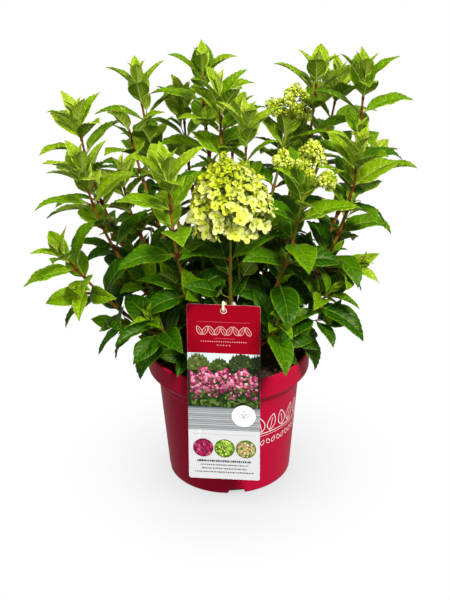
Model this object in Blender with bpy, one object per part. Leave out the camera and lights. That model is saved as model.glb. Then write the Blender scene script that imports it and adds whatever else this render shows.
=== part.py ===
"""A panicle hydrangea in its nursery pot, at the start of its bloom.

The pot, its soil, the root crown, the bare foot of each stem and the leafy shoot that grows on from
it are separate solids, with a plain label card that hangs in front of the pot on a loop.
Metres, +Z up. The origin is the centre of the pot's flat underside, and +X is to the right of a
viewer who stands in front of the pot and looks along +Y.
"""

import math
import random
from collections import namedtuple

import bmesh
import bpy
from mathutils import Vector
from mathutils.bvhtree import BVHTree

# Clear gap between solids that touch.
GAP = 0.0003

# Pot: a round nursery pot of about five litres.
POT_HEIGHT = 0.197
POT_SIDES = 32
FOOT_RADIUS = 0.0868
BODY_TOP_RADIUS = 0.0990
SHOULDER_RADIUS = 0.1002
RIM_RADIUS = 0.1150
RIM_DEPTH = 0.033
RIM_FLARE = 0.0012
CHAMFER_HEIGHT = 0.012
STEP_DROP = 0.007
STEP_HEIGHT = 0.002
FOOT_CHAMFER = 0.0015
LIP_ROUND = 0.002
WALL = 0.0022
FLOOR = 0.0035

# Drain notches through the foot of the wall.
NOTCH_COUNT = 4
NOTCH_FIRST_TURN = -84.0
NOTCH_WIDTH = 0.026
NOTCH_TOP_WIDTH = 0.018
NOTCH_HEIGHT = 0.008
NOTCH_INNER_RADIUS = 0.078

# Soil, a little domed, below the rim.
SOIL_EDGE_HEIGHT = 0.176
SOIL_DOME = 0.005
SOIL_DOME_RINGS = (0.70, 0.35)

# Root crown: a low knuckle of old wood that the stems spring from.
CROWN_HEIGHT = 0.197
CROWN_RADIUS = 0.026
CROWN_FLARE = 0.031
CROWN_SIDES = 14
CROWN_RINGS = 7
CROWN_FIRST_RISE = -18.0
CROWN_LAST_RISE = 85.0

# Stems.
STEM_ROOT_RADIUS = 0.0036
STEM_TIP_RADIUS = 0.0013
ROOT_PULL = 0.34
TIP_PULL = 0.38
BARE_LENGTH = 0.075
BARE_SIDES = 4
SHOOT_SIDES = 3
TWIG_SIDES = 3
RING_SPACING = 0.038
ROOT_SPREAD = 24.0
SPREAD_ROUNDS = 80

# Leaf pairs, from the tip of a shoot down.
FIRST_BELOW = 0.002
FIRST_SPACE = 0.006
SPACE_GROWTH = 1.55
FULL_SPACE = 0.037
FIRST_LEAF = 0.46
LEAF_GROWTH = 0.18
FIRST_ANGLE = 13.0
ANGLE_GROWTH = 10.0
FULL_ANGLE = 54.0
OLD_ANGLE_GROWTH = 5.0
FIRST_ARCH = 12.0
ARCH_GROWTH = 6.0
FULL_ARCH = 62.0
OLD_PAIR = 6
OLD_SHRINK = 0.05
LIGHT_TURN = 0.35
TRIES = 14
FIRST_SEED = 100
TWIG_LEAFY = 0.8

# Leaf blade, as fractions of its whole length with the stalk.
LEAF_HALF_WIDTH = 0.220
LEAF_THICKNESS = 0.0125
ROOT_HALF_THICKNESS = 0.00045
LEAF_SHOULDER = 0.36
LEAF_MIDDLE = 0.52
LEAF_WAIST = 0.70
SMALL_LEAF = 0.071
LEAF_FOLD = 20.0
BLADE_START = 0.20
LEAF_CLEARANCE = 0.0008

# Bloom: a cone of open flowers.
BLOOM_LENGTH = 0.106
BLOOM_RADIUS = 0.059
BLOOM_FLOWERS = 27
FLOWER_RADIUS = 0.0160
FLOWER_THICKNESS = 0.0016
FLOWER_DEPTH = 0.010
CORE_SIDES = 11
CORE_RINGS = (-0.03, 0.10, 0.28, 0.46, 0.64, 0.82)

# Young flower heads: rounded clusters of buds on short stalks.
BUD_LEVELS = 3
BUD_SPRAYS = 3
BUD_LENGTH = 0.058
BUD_SPREAD = 0.030
BUD_CLUSTER = 0.0110
SPRAY_SIDES = 5

# Label card, which hangs on the front bloom's stem and leans on the rim.
CARD_WIDTH = 0.0985
CARD_HEIGHT = 0.2645
CARD_THICKNESS = 0.0008
CARD_TURN = -6.2
CARD_LEAN = 3.2
CARD_TOP = 0.313
CARD_SHIFT = 0.0055
HOLE_RADIUS = 0.0036
HOLE_DROP = 0.0085
CORNER_RADIUS = 0.003
LOOP_RADIUS = 0.0009
LOOP_SIDES = 4
KEEP_CLEAR = 0.05

# Each shoot: its name, the end of its stem, how far its root rises above level and how far its end
# leans out from upright in degrees, the turn of its top pair of leaves, its full leaf, its end.
Shoot = namedtuple("Shoot", "name tip rise lean turn leaf age end")
SHOOTS = (
    Shoot("front_bloom", (0.004, -0.118, 0.432), 42, 8, 20, 0.086, 0, "bloom"),
    Shoot("front_right_buds", (0.100, -0.122, 0.485), 40, 14, 10, 0.088, 0, "buds"),
    Shoot("front_left", (-0.074, -0.130, 0.512), 38, 2, 15, 0.084, 0, "tuft"),
    Shoot("middle_buds", (0.084, 0.060, 0.500), 62, 12, 60, 0.076, 0, "buds"),
    Shoot("left_low", (-0.222, -0.058, 0.366), 18, 36, 100, 0.078, 1, "tuft"),
    Shoot("left", (-0.192, -0.022, 0.474), 30, 10, 20, 0.082, 0, "tuft"),
    Shoot("right_tall", (0.184, 0.018, 0.586), 40, 2, 5, 0.080, 0, "tuft"),
    Shoot("right", (0.172, -0.052, 0.510), 34, 2, 30, 0.080, 0, "tuft"),
    Shoot("back_right_tall", (0.126, 0.098, 0.562), 52, 6, 80, 0.080, 0, "tuft"),
    Shoot("back_left_tall", (-0.031, 0.098, 0.571), 66, -4, 0, 0.078, 0, "tuft"),
    Shoot("centre_left", (-0.009, 0.030, 0.560), 84, 12, 35, 0.080, 0, "tuft"),
    Shoot("centre", (0.028, -0.004, 0.527), 76, 4, 10, 0.082, 0, "tuft"),
    Shoot("back_left", (-0.120, 0.118, 0.544), 54, 8, 5, 0.078, 0, "tuft"),
    Shoot("left_upper", (-0.204, 0.078, 0.508), 32, 8, 40, 0.080, 0, "tuft"),
    Shoot("left_inner", (-0.138, 0.100, 0.496), 42, 16, 70, 0.080, 0, "tuft"),
    Shoot("left_middle", (-0.142, 0.030, 0.440), 44, 4, 55, 0.084, 0, "tuft"),
    Shoot("back_upper", (-0.060, 0.160, 0.500), 48, 4, 30, 0.080, 0, "tuft"),
    Shoot("back_right", (0.160, 0.166, 0.525), 40, 12, 15, 0.080, 0, "tuft"),
    Shoot("right_back_low", (0.200, 0.098, 0.430), 18, 22, 65, 0.084, 0, "tuft"),
    Shoot("back_low_right", (0.110, 0.198, 0.440), 20, 16, 25, 0.086, 0, "tuft"),
    Shoot("back_low", (0.010, 0.214, 0.455), 24, 12, 75, 0.086, 0, "tuft"),
    Shoot("back_low_left", (-0.110, 0.198, 0.420), 18, 18, 40, 0.086, 0, "tuft"),
    Shoot("left_back_low", (-0.200, 0.125, 0.400), 16, 26, 10, 0.084, 0, "tuft"),
    Shoot("right_low", (0.136, -0.082, 0.315), 16, 40, 60, 0.082, 3, "tuft"),
    Shoot("front_right_low", (0.066, -0.124, 0.296), 14, 30, 20, 0.080, 3, "tuft"),
    Shoot("front_left_low", (-0.102, -0.108, 0.292), 14, 36, 30, 0.080, 3, "tuft"),
)

# Side twigs: the shoot, the distance from its tip, the turn, the length and the full leaf.
Twig = namedtuple("Twig", "shoot below turn length leaf")
TWIGS = (
    Twig("left_low", 0.075, 262, 0.060, 0.064),
    Twig("right", 0.185, 335, 0.055, 0.062),
)

Leaf = namedtuple("Leaf", "root way up length arch fold")


def material(name, colour, roughness):
    made = bpy.data.materials.new(name)
    made.use_nodes = True
    shader = made.node_tree.nodes["Principled BSDF"]
    shader.inputs["Base Color"].default_value = (*colour, 1.0)
    shader.inputs["Roughness"].default_value = roughness
    made.diffuse_color = (*colour, 1.0)
    return made


def add_object(name, verts, faces, finish=None, smooth=False):
    mesh = bpy.data.meshes.new(name)
    mesh.from_pydata([tuple(v) for v in verts], [], faces)
    mesh.validate()
    if finish:
        mesh.materials.append(finish)
    if smooth:
        mesh.shade_smooth()
        mesh.set_sharp_from_angle(angle=math.radians(35))
    made = bpy.data.objects.new(name, mesh)
    bpy.context.scene.collection.objects.link(made)
    return made


def polar(radius, turn, height=0.0):
    return Vector((radius * math.cos(turn), radius * math.sin(turn), height))


# Turned shapes

def lathe(profile, sides):
    """Turn a profile of (radius, height) points, with a flat cap at its first and last ring."""
    verts = []
    for radius, height in profile:
        verts += [polar(radius, math.tau * k / sides, height) for k in range(sides)]
    faces = [tuple(reversed(range(sides)))]
    for ring in range(len(profile) - 1):
        low = ring * sides
        for k in range(sides):
            ahead = (k + 1) % sides
            faces.append((low + k, low + ahead, low + sides + ahead, low + sides + k))
    last = (len(profile) - 1) * sides
    faces.append(tuple(range(last, last + sides)))
    return verts, faces


def pot_outside():
    underside = POT_HEIGHT - RIM_DEPTH
    chamfer_foot = underside - CHAMFER_HEIGHT
    return [
        (FOOT_RADIUS - FOOT_CHAMFER, 0.0),
        (FOOT_RADIUS, FOOT_CHAMFER),
        (BODY_TOP_RADIUS, chamfer_foot - STEP_DROP),
        (SHOULDER_RADIUS, chamfer_foot - STEP_DROP + STEP_HEIGHT),
        (SHOULDER_RADIUS, chamfer_foot),
        (RIM_RADIUS - RIM_FLARE - LIP_ROUND, underside),
        (RIM_RADIUS - RIM_FLARE, underside + LIP_ROUND),
        (RIM_RADIUS, POT_HEIGHT - LIP_ROUND),
        (RIM_RADIUS - LIP_ROUND * 0.6, POT_HEIGHT),
    ]


def pot_inside():
    """The inner wall, from the rounded lip down to the floor."""
    underside = POT_HEIGHT - RIM_DEPTH
    return [
        (RIM_RADIUS - LIP_ROUND * 1.4, POT_HEIGHT),
        (RIM_RADIUS - WALL - LIP_ROUND * 0.4, POT_HEIGHT - LIP_ROUND),
        (RIM_RADIUS - RIM_FLARE - WALL - LIP_ROUND * 0.4, underside + WALL),
        (SHOULDER_RADIUS - WALL, underside - CHAMFER_HEIGHT),
        (FOOT_RADIUS - WALL, FLOOR),
    ]


def add_pot(finish):
    pot = add_object("pot", *lathe(pot_outside() + pot_inside(), POT_SIDES), finish)
    for k in range(NOTCH_COUNT):
        turn = math.radians(NOTCH_FIRST_TURN + 360 / NOTCH_COUNT * k)
        cutter = add_object(f"notch_cutter_{k}", *notch_prism(turn))
        cut = pot.modifiers.new("notch", "BOOLEAN")
        cut.object = cutter
        cut.operation = "DIFFERENCE"
        keep_result(pot)
        bpy.data.objects.remove(cutter)
    pot.data.shade_smooth()
    pot.data.set_sharp_from_angle(angle=math.radians(35))
    return pot


def notch_prism(turn):
    """A trapezoid that reaches out through the wall, with its wide side below the underside."""
    out = polar(1, turn)
    along = Vector((-out.y, out.x, 0))
    slope = (NOTCH_WIDTH - NOTCH_TOP_WIDTH) / 2 / NOTCH_HEIGHT
    below = 0.002
    verts = []
    for radius in (NOTCH_INNER_RADIUS, FOOT_RADIUS + 0.02):
        for side, height in ((-1, -below), (1, -below), (1, NOTCH_HEIGHT), (-1, NOTCH_HEIGHT)):
            half = NOTCH_WIDTH / 2 - slope * height
            verts.append(out * radius + along * side * half + Vector((0, 0, height)))
    faces = [(3, 2, 1, 0), (4, 5, 6, 7), (0, 1, 5, 4), (1, 2, 6, 5), (2, 3, 7, 6), (3, 0, 4, 7)]
    return verts, faces


def soil_height(part):
    """The height of the soil at a share of the way from its middle to its edge."""
    return SOIL_EDGE_HEIGHT + SOIL_DOME * (1 - part**2)


def add_soil(finish):
    inner = list(reversed(pot_inside()))[:-2]
    wall = [(radius - GAP * 1.2, height + GAP) for radius, height in inner]
    (low_radius, low_height), (high_radius, high_height) = wall[-1], pot_inside()[1]
    share = (SOIL_EDGE_HEIGHT - low_height) / (high_height - low_height)
    edge_radius = low_radius + (high_radius - GAP - low_radius) * share
    dome = [(edge_radius, SOIL_EDGE_HEIGHT)]
    dome += [(edge_radius * part, soil_height(part)) for part in SOIL_DOME_RINGS]
    return add_object("soil", *lathe(wall + dome, POT_SIDES), finish, smooth=True)


def add_root_crown(finish):
    """A flared foot on the flat top of the soil, under a rounded knuckle."""
    foot = soil_height(SOIL_DOME_RINGS[-1]) + GAP
    profile = [(CROWN_FLARE, foot)]
    for ring in range(CROWN_RINGS):
        part = ring / (CROWN_RINGS - 1)
        rise = math.radians(CROWN_FIRST_RISE + (CROWN_LAST_RISE - CROWN_FIRST_RISE) * part)
        height = CROWN_HEIGHT + CROWN_RADIUS * math.sin(rise)
        profile.append((CROWN_RADIUS * math.cos(rise), height))
    return add_object("root_crown", *lathe(profile, CROWN_SIDES), finish, smooth=True)


# Stems

class Stem:
    """A smooth centre line with a taper, measured by the distance from its root."""

    def __init__(self, root, root_way, tip, tip_way, root_radius, tip_radius):
        reach = (tip - root).length
        first = root + root_way * reach * ROOT_PULL
        second = tip - tip_way * reach * TIP_PULL
        steps = max(2, round(reach / RING_SPACING))
        self.points = []
        for step in range(steps + 1):
            t = step / steps
            s = 1 - t
            point = root * s**3 + first * 3 * s * s * t + second * 3 * s * t * t + tip * t**3
            self.points.append(point)
        self.marks = [0.0]
        for before, after in zip(self.points, self.points[1:]):
            self.marks.append(self.marks[-1] + (after - before).length)
        self.length = self.marks[-1]
        self.root_radius = root_radius
        self.tip_radius = tip_radius

    def at(self, distance):
        """The point at a distance from the root, and the way the stem runs there."""
        distance = min(max(distance, 0.0), self.length)
        step = 0
        while step < len(self.points) - 2 and self.marks[step + 1] < distance:
            step += 1
        span = self.points[step + 1] - self.points[step]
        part = (distance - self.marks[step]) / (self.marks[step + 1] - self.marks[step])
        return self.points[step] + span * part, span.normalized()

    def radius(self, distance):
        part = min(max(distance / self.length, 0.0), 1.0)
        return self.root_radius + (self.tip_radius - self.root_radius) * part


def cross_ways(way):
    """Two ways across a stem that turn with it, near +X and +Y on an upright one."""
    turned = Vector((0, 0, 1)).rotation_difference(way)
    return turned @ Vector((1, 0, 0)), turned @ Vector((0, 1, 0))


def tube(stem, start, end, sides, spare=0.0):
    """The closed solid of a stem between two distances from its root."""
    between = [mark for mark in stem.marks if start + 0.006 < mark < end - 0.006]
    places = [start] + between + [end]
    count = len(places)
    verts = []
    for distance in places:
        point = stem.at(distance)[0]
        way = (stem.at(distance + 0.004)[1] + stem.at(distance - 0.004)[1]).normalized()
        across, beside = cross_ways(way)
        radius = stem.radius(distance) + spare
        for k in range(sides):
            turn = math.tau * k / sides
            verts.append(point + across * radius * math.cos(turn) + beside * radius * math.sin(turn))
    faces = [tuple(reversed(range(sides)))]
    for ring in range(count - 1):
        low = ring * sides
        for k in range(sides):
            ahead = (k + 1) % sides
            faces.append((low + k, low + ahead, low + sides + ahead, low + sides + k))
    last = (count - 1) * sides
    faces.append(tuple(range(last, last + sides)))
    return verts, faces


def root_ways(shoots):
    """Where each stem leaves the crown: towards its tip at first, then spread so that none touch."""
    ways = []
    for shoot in shoots:
        turn = math.atan2(shoot.tip[1], shoot.tip[0])
        rise = math.radians(shoot.rise)
        ways.append(polar(math.cos(rise), turn, math.sin(rise)))
    least = math.radians(ROOT_SPREAD)
    for _ in range(SPREAD_ROUNDS):
        for i in range(len(ways)):
            for j in range(i):
                between = ways[i].angle(ways[j])
                if between < least:
                    push = (ways[i] - ways[j]).normalized() * (least - between) * 0.25
                    ways[i] = (ways[i] + push).normalized()
                    ways[j] = (ways[j] - push).normalized()
    return ways


def main_stems(shoots):
    centre = Vector((0, 0, CROWN_HEIGHT))
    stems = {}
    for shoot, way in zip(shoots, root_ways(shoots)):
        tip = Vector(shoot.tip)
        turn = math.atan2(tip.y, tip.x)
        lean = math.radians(shoot.lean)
        tip_way = polar(math.sin(lean), turn, math.cos(lean))
        root = centre + way * (CROWN_RADIUS + GAP)
        stems[shoot.name] = Stem(root, way, tip, tip_way, STEM_ROOT_RADIUS, STEM_TIP_RADIUS)
    return stems


def side_twig(twig, stems):
    stem = stems[twig.shoot]
    root, way = stem.at(stem.length - twig.below)
    across, beside = cross_ways(way)
    turn = math.radians(twig.turn)
    out = across * math.cos(turn) + beside * math.sin(turn)
    first_way = (way * 0.5 + out).normalized()
    tip_way = (first_way + Vector((0, 0, 0.8))).normalized()
    tip = root + (first_way + tip_way).normalized() * twig.length
    return Stem(root, first_way, tip, tip_way, STEM_TIP_RADIUS * 1.3, STEM_TIP_RADIUS)


# Leaves

def spine(leaf, part):
    """A point on the middle line of a leaf, and the way up there."""
    point = leaf.root.copy()
    steps = 6
    bend = 0.0
    for step in range(steps):
        bend = math.radians(leaf.arch) * (part * (step + 0.5) / steps) ** 1.3
        run = leaf.length * part / steps
        point += (leaf.way * math.cos(bend) - leaf.up * math.sin(bend)) * run
    bend = math.radians(leaf.arch) * part**1.3
    return point, leaf.up * math.cos(bend) + leaf.way * math.sin(bend)


def half_width(leaf, part):
    """An egg-shaped blade that narrows to a long point, with a stalk at its foot."""
    blade = min(max((part - 0.10) / 0.90, 0.0), 1.0)
    swell = math.sin(math.pi * blade**0.72) ** 0.85
    return leaf.length * LEAF_HALF_WIDTH * swell * (1.08 - 0.25 * blade)


def leaf_solid(leaf, start=0.0, spare=0.0):
    """A closed thin blade: a root edge, its outline, and a point above and below its middle."""
    side = leaf.way.cross(leaf.up)
    tangent = math.tan(math.radians(leaf.fold))
    half = leaf.length * LEAF_THICKNESS / 2 + spare
    root, root_up = spine(leaf, start)
    middle, middle_up = spine(leaf, LEAF_MIDDLE)
    verts = [
        root + root_up * (ROOT_HALF_THICKNESS + spare),
        root - root_up * (ROOT_HALF_THICKNESS + spare),
        middle + middle_up * half,
        middle - middle_up * half,
    ]
    small = leaf.length < SMALL_LEAF
    stations = (LEAF_MIDDLE - 0.04,) if small else (LEAF_SHOULDER, LEAF_WAIST)
    rights = []
    lefts = []
    for part in stations:
        point, up = spine(leaf, part)
        wide = half_width(leaf, part) + spare
        rights.append(len(verts))
        verts.append(point + side * wide + up * wide * tangent)
        lefts.append(len(verts))
        verts.append(point - side * wide + up * wide * tangent)
    tip = len(verts)
    verts.append(spine(leaf, 1.0)[0])
    round_top = [0] + rights + [tip] + lefts[::-1]
    round_under = [1] + rights + [tip] + lefts[::-1]
    faces = [(0, 1, rights[0]), (1, 0, lefts[0])]
    for k, ahead in zip(range(len(round_top)), list(range(1, len(round_top))) + [0]):
        faces.append((2, round_top[k], round_top[ahead]))
        faces.append((3, round_under[ahead], round_under[k]))
    return verts, faces


def leaf_pairs(length):
    """The distance of each pair from the tip of a leafy stem, and its number."""
    below = FIRST_BELOW
    space = FIRST_SPACE
    number = 0
    while below < length - 0.004:
        yield below, number
        below += space
        space = min(space * SPACE_GROWTH, FULL_SPACE)
        number += 1


def try_leaf(stem, below, turn, number, full, age, draw, attempt):
    """One leaf of a pair, with small differences drawn from the shoot's own seed."""
    root, way = stem.at(stem.length - below)
    across, beside = cross_ways(way)
    loose = 4 + 5 * attempt
    turn = math.radians(turn + draw.uniform(-loose, loose))
    old = max(number - OLD_PAIR, 0)
    angle = min(FIRST_ANGLE + ANGLE_GROWTH * number, FULL_ANGLE) + OLD_ANGLE_GROWTH * (old + age)
    angle = math.radians(max(angle + draw.uniform(-6, 6) - 2 * attempt, 8))
    out = across * math.cos(turn) + beside * math.sin(turn)
    leaf_way = (way * math.cos(angle) + out * math.sin(angle)).normalized()
    up = (way * math.sin(angle) - out * math.cos(angle)).normalized()
    up = up + Vector((0, 0, LIGHT_TURN)) + out.cross(way) * draw.uniform(-0.22, 0.22)
    up = (up - leaf_way * up.dot(leaf_way)).normalized()
    length = full * min(FIRST_LEAF + LEAF_GROWTH * number, 1.0) * draw.uniform(0.90, 1.06)
    length *= (1 - OLD_SHRINK * old) * (1 - 0.04 * attempt)
    arch = min(FIRST_ARCH + ARCH_GROWTH * (number + age), FULL_ARCH) * draw.uniform(0.75, 1.2)
    fold = LEAF_FOLD * draw.uniform(0.6, 1.3)
    return Leaf(root, leaf_way, up, length, arch, fold)


def tree_of(verts, faces):
    return BVHTree.FromPolygons([tuple(v) for v in verts], faces)


def touches(tree, others):
    return any(tree.overlap(other) for other in others)


def joined(solids):
    """Several vertex and face lists as one."""
    verts = []
    faces = []
    for more_verts, more_faces in solids:
        start = len(verts)
        verts += more_verts
        faces += [tuple(start + k for k in face) for face in more_faces]
    return verts, faces


def grow_leaves(stem, leafy_length, turn, full, age, draw, own_limbs, others, own):
    """Pairs of leaves, each turned a quarter from the last, that touch nothing else."""
    leaves = []
    for below, number in leaf_pairs(leafy_length):
        for opposite in (0, 180):
            for attempt in range(TRIES):
                leaf = try_leaf(stem, below, turn + opposite, number, full, age, draw, attempt)
                whole = tree_of(*leaf_solid(leaf, 0.0, LEAF_CLEARANCE))
                if touches(whole, others):
                    continue
                blade = tree_of(*leaf_solid(leaf, BLADE_START, LEAF_CLEARANCE))
                if touches(blade, own_limbs + own):
                    continue
                leaves.append(leaf)
                own.append(blade)
                break
        turn += 90
    return leaves


# Flowers

def bloom_radius(part):
    """The half width of the bloom's cone, from its foot at 0 to its tip at 1."""
    return BLOOM_RADIUS * (1.0 - 0.70 * part**1.3) * min(1.0, 0.70 + part * 3.0)


def bloom_core(stem, draw):
    """A lumpy cone round the end of the stem."""
    base, way = stem.at(stem.length)
    across, beside = cross_ways(way)
    verts = [base - way * 0.004, base + way * BLOOM_LENGTH]
    for part in CORE_RINGS:
        centre = base + way * BLOOM_LENGTH * part
        for k in range(CORE_SIDES):
            turn = math.tau * k / CORE_SIDES
            radius = bloom_radius(max(part, 0.0)) * draw.uniform(0.84, 0.98)
            verts.append(centre + across * radius * math.cos(turn) + beside * radius * math.sin(turn))
    faces = []
    for k in range(CORE_SIDES):
        ahead = (k + 1) % CORE_SIDES
        faces.append((0, 2 + ahead, 2 + k))
        for ring in range(len(CORE_RINGS) - 1):
            low = 2 + ring * CORE_SIDES
            high = low + CORE_SIDES
            faces.append((low + k, low + ahead, high + ahead))
            faces.append((low + k, high + ahead, high + k))
        top = 2 + (len(CORE_RINGS) - 1) * CORE_SIDES
        faces.append((1, top + k, top + ahead))
    return verts, faces


def flower_places(stem, draw):
    """Flowers spread evenly over the cone by the golden angle: centre, facing way and size."""
    base, way = stem.at(stem.length)
    across, beside = cross_ways(way)
    golden = math.pi * (3 - math.sqrt(5))
    places = []
    for k in range(BLOOM_FLOWERS):
        part = 1 - math.sqrt((k + 0.5) / BLOOM_FLOWERS)
        turn = golden * k
        radius = bloom_radius(part) * draw.uniform(0.94, 1.06)
        out = across * math.cos(turn) + beside * math.sin(turn)
        centre = base + way * BLOOM_LENGTH * (part * 0.98) + out * radius * 0.93
        facing = (out + way * (0.15 + 0.9 * part)).normalized()
        size = FLOWER_RADIUS * (1.08 - 0.45 * part) * draw.uniform(0.9, 1.1)
        places.append((centre, facing, size, draw.uniform(0, 90)))
    return places


def flower_solid(centre, facing, size, twist):
    """A flat four-cornered flower with a pointed back that reaches into the bloom."""
    across, beside = cross_ways(facing)
    verts = [centre + facing * FLOWER_THICKNESS / 2, centre - facing * FLOWER_DEPTH]
    for k in range(4):
        turn = math.radians(twist + 90 * k)
        verts.append(centre + (across * math.cos(turn) + beside * math.sin(turn)) * size)
    faces = []
    for k in range(4):
        ahead = (k + 1) % 4
        faces.append((0, 2 + k, 2 + ahead))
        faces.append((1, 2 + ahead, 2 + k))
    return verts, faces


def bud_places(stem, draw):
    """Bud clusters at the ends of short branches in levels round a young flower head."""
    base, way = stem.at(stem.length)
    across, beside = cross_ways(way)
    places = [(base, base + way * BUD_LENGTH, BUD_CLUSTER * 1.1)]
    for level in range(BUD_LEVELS):
        part = level / BUD_LEVELS
        foot = base + way * BUD_LENGTH * (part * 0.9 - 0.28)
        spread = BUD_SPREAD * (1.0 - 0.62 * part)
        for k in range(BUD_SPRAYS):
            turn = math.radians(draw.uniform(-15, 15) + 360 / BUD_SPRAYS * k + 60 * level)
            out = across * math.cos(turn) + beside * math.sin(turn)
            end = foot + out * spread + way * spread * draw.uniform(0.55, 0.85)
            places.append((foot, end, BUD_CLUSTER * draw.uniform(0.85, 1.15) * (1 - 0.25 * part)))
    return places


def bud_spray_solid(foot, end, radius):
    """A short branch that swells into a rounded cluster of buds."""
    way = (end - foot).normalized()
    across, beside = cross_ways(way)
    verts = [foot, end + way * radius * 0.8]
    for k in range(SPRAY_SIDES):
        turn = math.tau * k / SPRAY_SIDES
        verts.append(end + (across * math.cos(turn) + beside * math.sin(turn)) * radius)
    faces = []
    for k in range(SPRAY_SIDES):
        ahead = (k + 1) % SPRAY_SIDES
        faces.append((0, 2 + ahead, 2 + k))
        faces.append((1, 2 + k, 2 + ahead))
    return verts, faces


def flower_head(shoot, stem, draw):
    """The solids of a shoot's flower head, if it has one."""
    if shoot.end == "bloom":
        return [bloom_core(stem, draw)] + [flower_solid(*place) for place in flower_places(stem, draw)]
    if shoot.end == "buds":
        return [bud_spray_solid(*place) for place in bud_places(stem, draw)]
    return []


# Label

def card_frame():
    """The card's top middle, and its ways right, up and out to the viewer."""
    turn = math.radians(CARD_TURN)
    lean = math.radians(CARD_LEAN)
    right = Vector((math.cos(turn), math.sin(turn), 0))
    front = Vector((math.sin(turn), -math.cos(turn), 0))
    up = (Vector((0, 0, 1)) * math.cos(lean) - front * math.sin(lean)).normalized()
    out = right.cross(up)
    touch = front * (RIM_RADIUS + GAP * 2) + Vector((0, 0, POT_HEIGHT - LIP_ROUND))
    top = touch + up * ((CARD_TOP - touch.z) / up.z) + right * CARD_SHIFT
    return top, right, up, out


def card_outline():
    """A rectangle with round corners, as (across, down) from the middle of its top edge."""
    points = []
    centres = (
        (CARD_WIDTH / 2 - CORNER_RADIUS, CORNER_RADIUS, -90),
        (CARD_WIDTH / 2 - CORNER_RADIUS, CARD_HEIGHT - CORNER_RADIUS, 0),
        (-CARD_WIDTH / 2 + CORNER_RADIUS, CARD_HEIGHT - CORNER_RADIUS, 90),
        (-CARD_WIDTH / 2 + CORNER_RADIUS, CORNER_RADIUS, 180),
    )
    for across, down, start in centres:
        for step in (0, 45, 90):
            spot = polar(CORNER_RADIUS, math.radians(start + step))
            points.append((across + spot.x, down + spot.y))
    return points


def add_label_card(finish):
    top, right, up, out = card_frame()
    outline = card_outline()
    verts = []
    for depth in (0.0, CARD_THICKNESS):
        verts += [top + right * x - up * y + out * depth for x, y in outline]
    count = len(outline)
    faces = [tuple(range(count)), tuple(reversed(range(count, 2 * count)))]
    for k in range(count):
        ahead = (k + 1) % count
        faces.append((ahead, k, count + k, count + ahead))
    card = add_object("label_card", verts, faces, finish)
    centre = top - up * HOLE_DROP + out * CARD_THICKNESS / 2
    ring = []
    for depth in (-0.005, 0.005):
        for k in range(12):
            turn = math.tau * k / 12
            spot = right * math.cos(turn) + up * math.sin(turn)
            ring.append(centre + spot * HOLE_RADIUS + out * depth)
    sides = [(k, (k + 1) % 12, 12 + (k + 1) % 12, 12 + k) for k in range(12)]
    caps = [tuple(reversed(range(12))), tuple(range(12, 24))]
    cutter = add_object("hole_cutter", ring, sides + caps)
    cut = card.modifiers.new("hole", "BOOLEAN")
    cut.object = cutter
    cut.operation = "DIFFERENCE"
    keep_result(card)
    bpy.data.objects.remove(cutter)
    return card


def loop_points(stem):
    """A closed line through the card's hole, over its top edge and round the stem behind it."""
    top, right, up, out = card_frame()
    hole = top - up * HOLE_DROP
    distance = 0.0
    while stem.at(distance)[0].z < CARD_TOP:
        distance += 0.001
    around = stem.at(distance)[0]
    inward = around - top
    inward.z = 0
    inward.normalize()
    beside = Vector((-inward.y, inward.x, 0))
    clear = stem.radius(distance) + LOOP_RADIUS + GAP
    front = CARD_THICKNESS + LOOP_RADIUS + GAP
    above = LOOP_RADIUS + GAP
    tilt = Vector((0, 0, 0.0025))
    corners = [
        hole + out * CARD_THICKNESS / 2,
        hole + out * (front + 0.0012) + up * 0.0030,
        top + out * (front + 0.0004) - up * 0.0022,
        top + out * front + up * 0.0014,
        top + out * CARD_THICKNESS / 2 + up * (above + 0.0014),
        top - out * 0.0040 + up * (above + 0.0010),
        around + beside * clear * 1.05 - inward * clear * 1.2 + tilt,
        around + beside * clear * 1.1 + inward * clear * 0.4 + tilt * 0.8,
        around + inward * clear * 1.15,
        around - beside * clear * 1.1 + inward * clear * 0.4 - tilt * 0.8,
        around - beside * clear * 1.05 - inward * clear * 1.2 - tilt,
        hole - out * 0.0070 + up * 0.0010,
    ]
    return smooth_closed(corners, 3)


def smooth_closed(corners, steps):
    """Points on a smooth closed curve through the corners."""
    count = len(corners)
    points = []
    for k in range(count):
        a, b, c, d = (corners[(k + shift) % count] for shift in (-1, 0, 1, 2))
        for step in range(steps):
            t = step / steps
            points.append(0.5 * ((2 * b) + (c - a) * t + (2 * a - 5 * b + 4 * c - d) * t * t
                                 + (3 * b - a - 3 * c + d) * t**3))
    return points


def ring_tube(points, radius, sides):
    """A closed tube round a closed line of points, whose last ring is turned to meet its first."""
    count = len(points)
    ways = [(points[(k + 1) % count] - points[k - 1]).normalized() for k in range(count)]
    normals = [Vector((0.3, 0.2, 1))]
    for way in ways:
        last = normals[-1]
        normals.append((last - way * last.dot(way)).normalized())
    normals = normals[1:]
    carried = (normals[-1] - ways[0] * normals[-1].dot(ways[0])).normalized()
    short = math.atan2(ways[0].dot(carried.cross(normals[0])), carried.dot(normals[0]))
    verts = []
    for k in range(count):
        beside = ways[k].cross(normals[k])
        for j in range(sides):
            turn = math.tau * j / sides + short * k / count
            verts.append(points[k] + (normals[k] * math.cos(turn) + beside * math.sin(turn)) * radius)
    faces = []
    for k in range(count):
        here = k * sides
        there = (k + 1) % count * sides
        for j in range(sides):
            ahead = (j + 1) % sides
            faces.append((here + j, here + ahead, there + ahead, there + j))
    return verts, faces


# Joining

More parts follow.
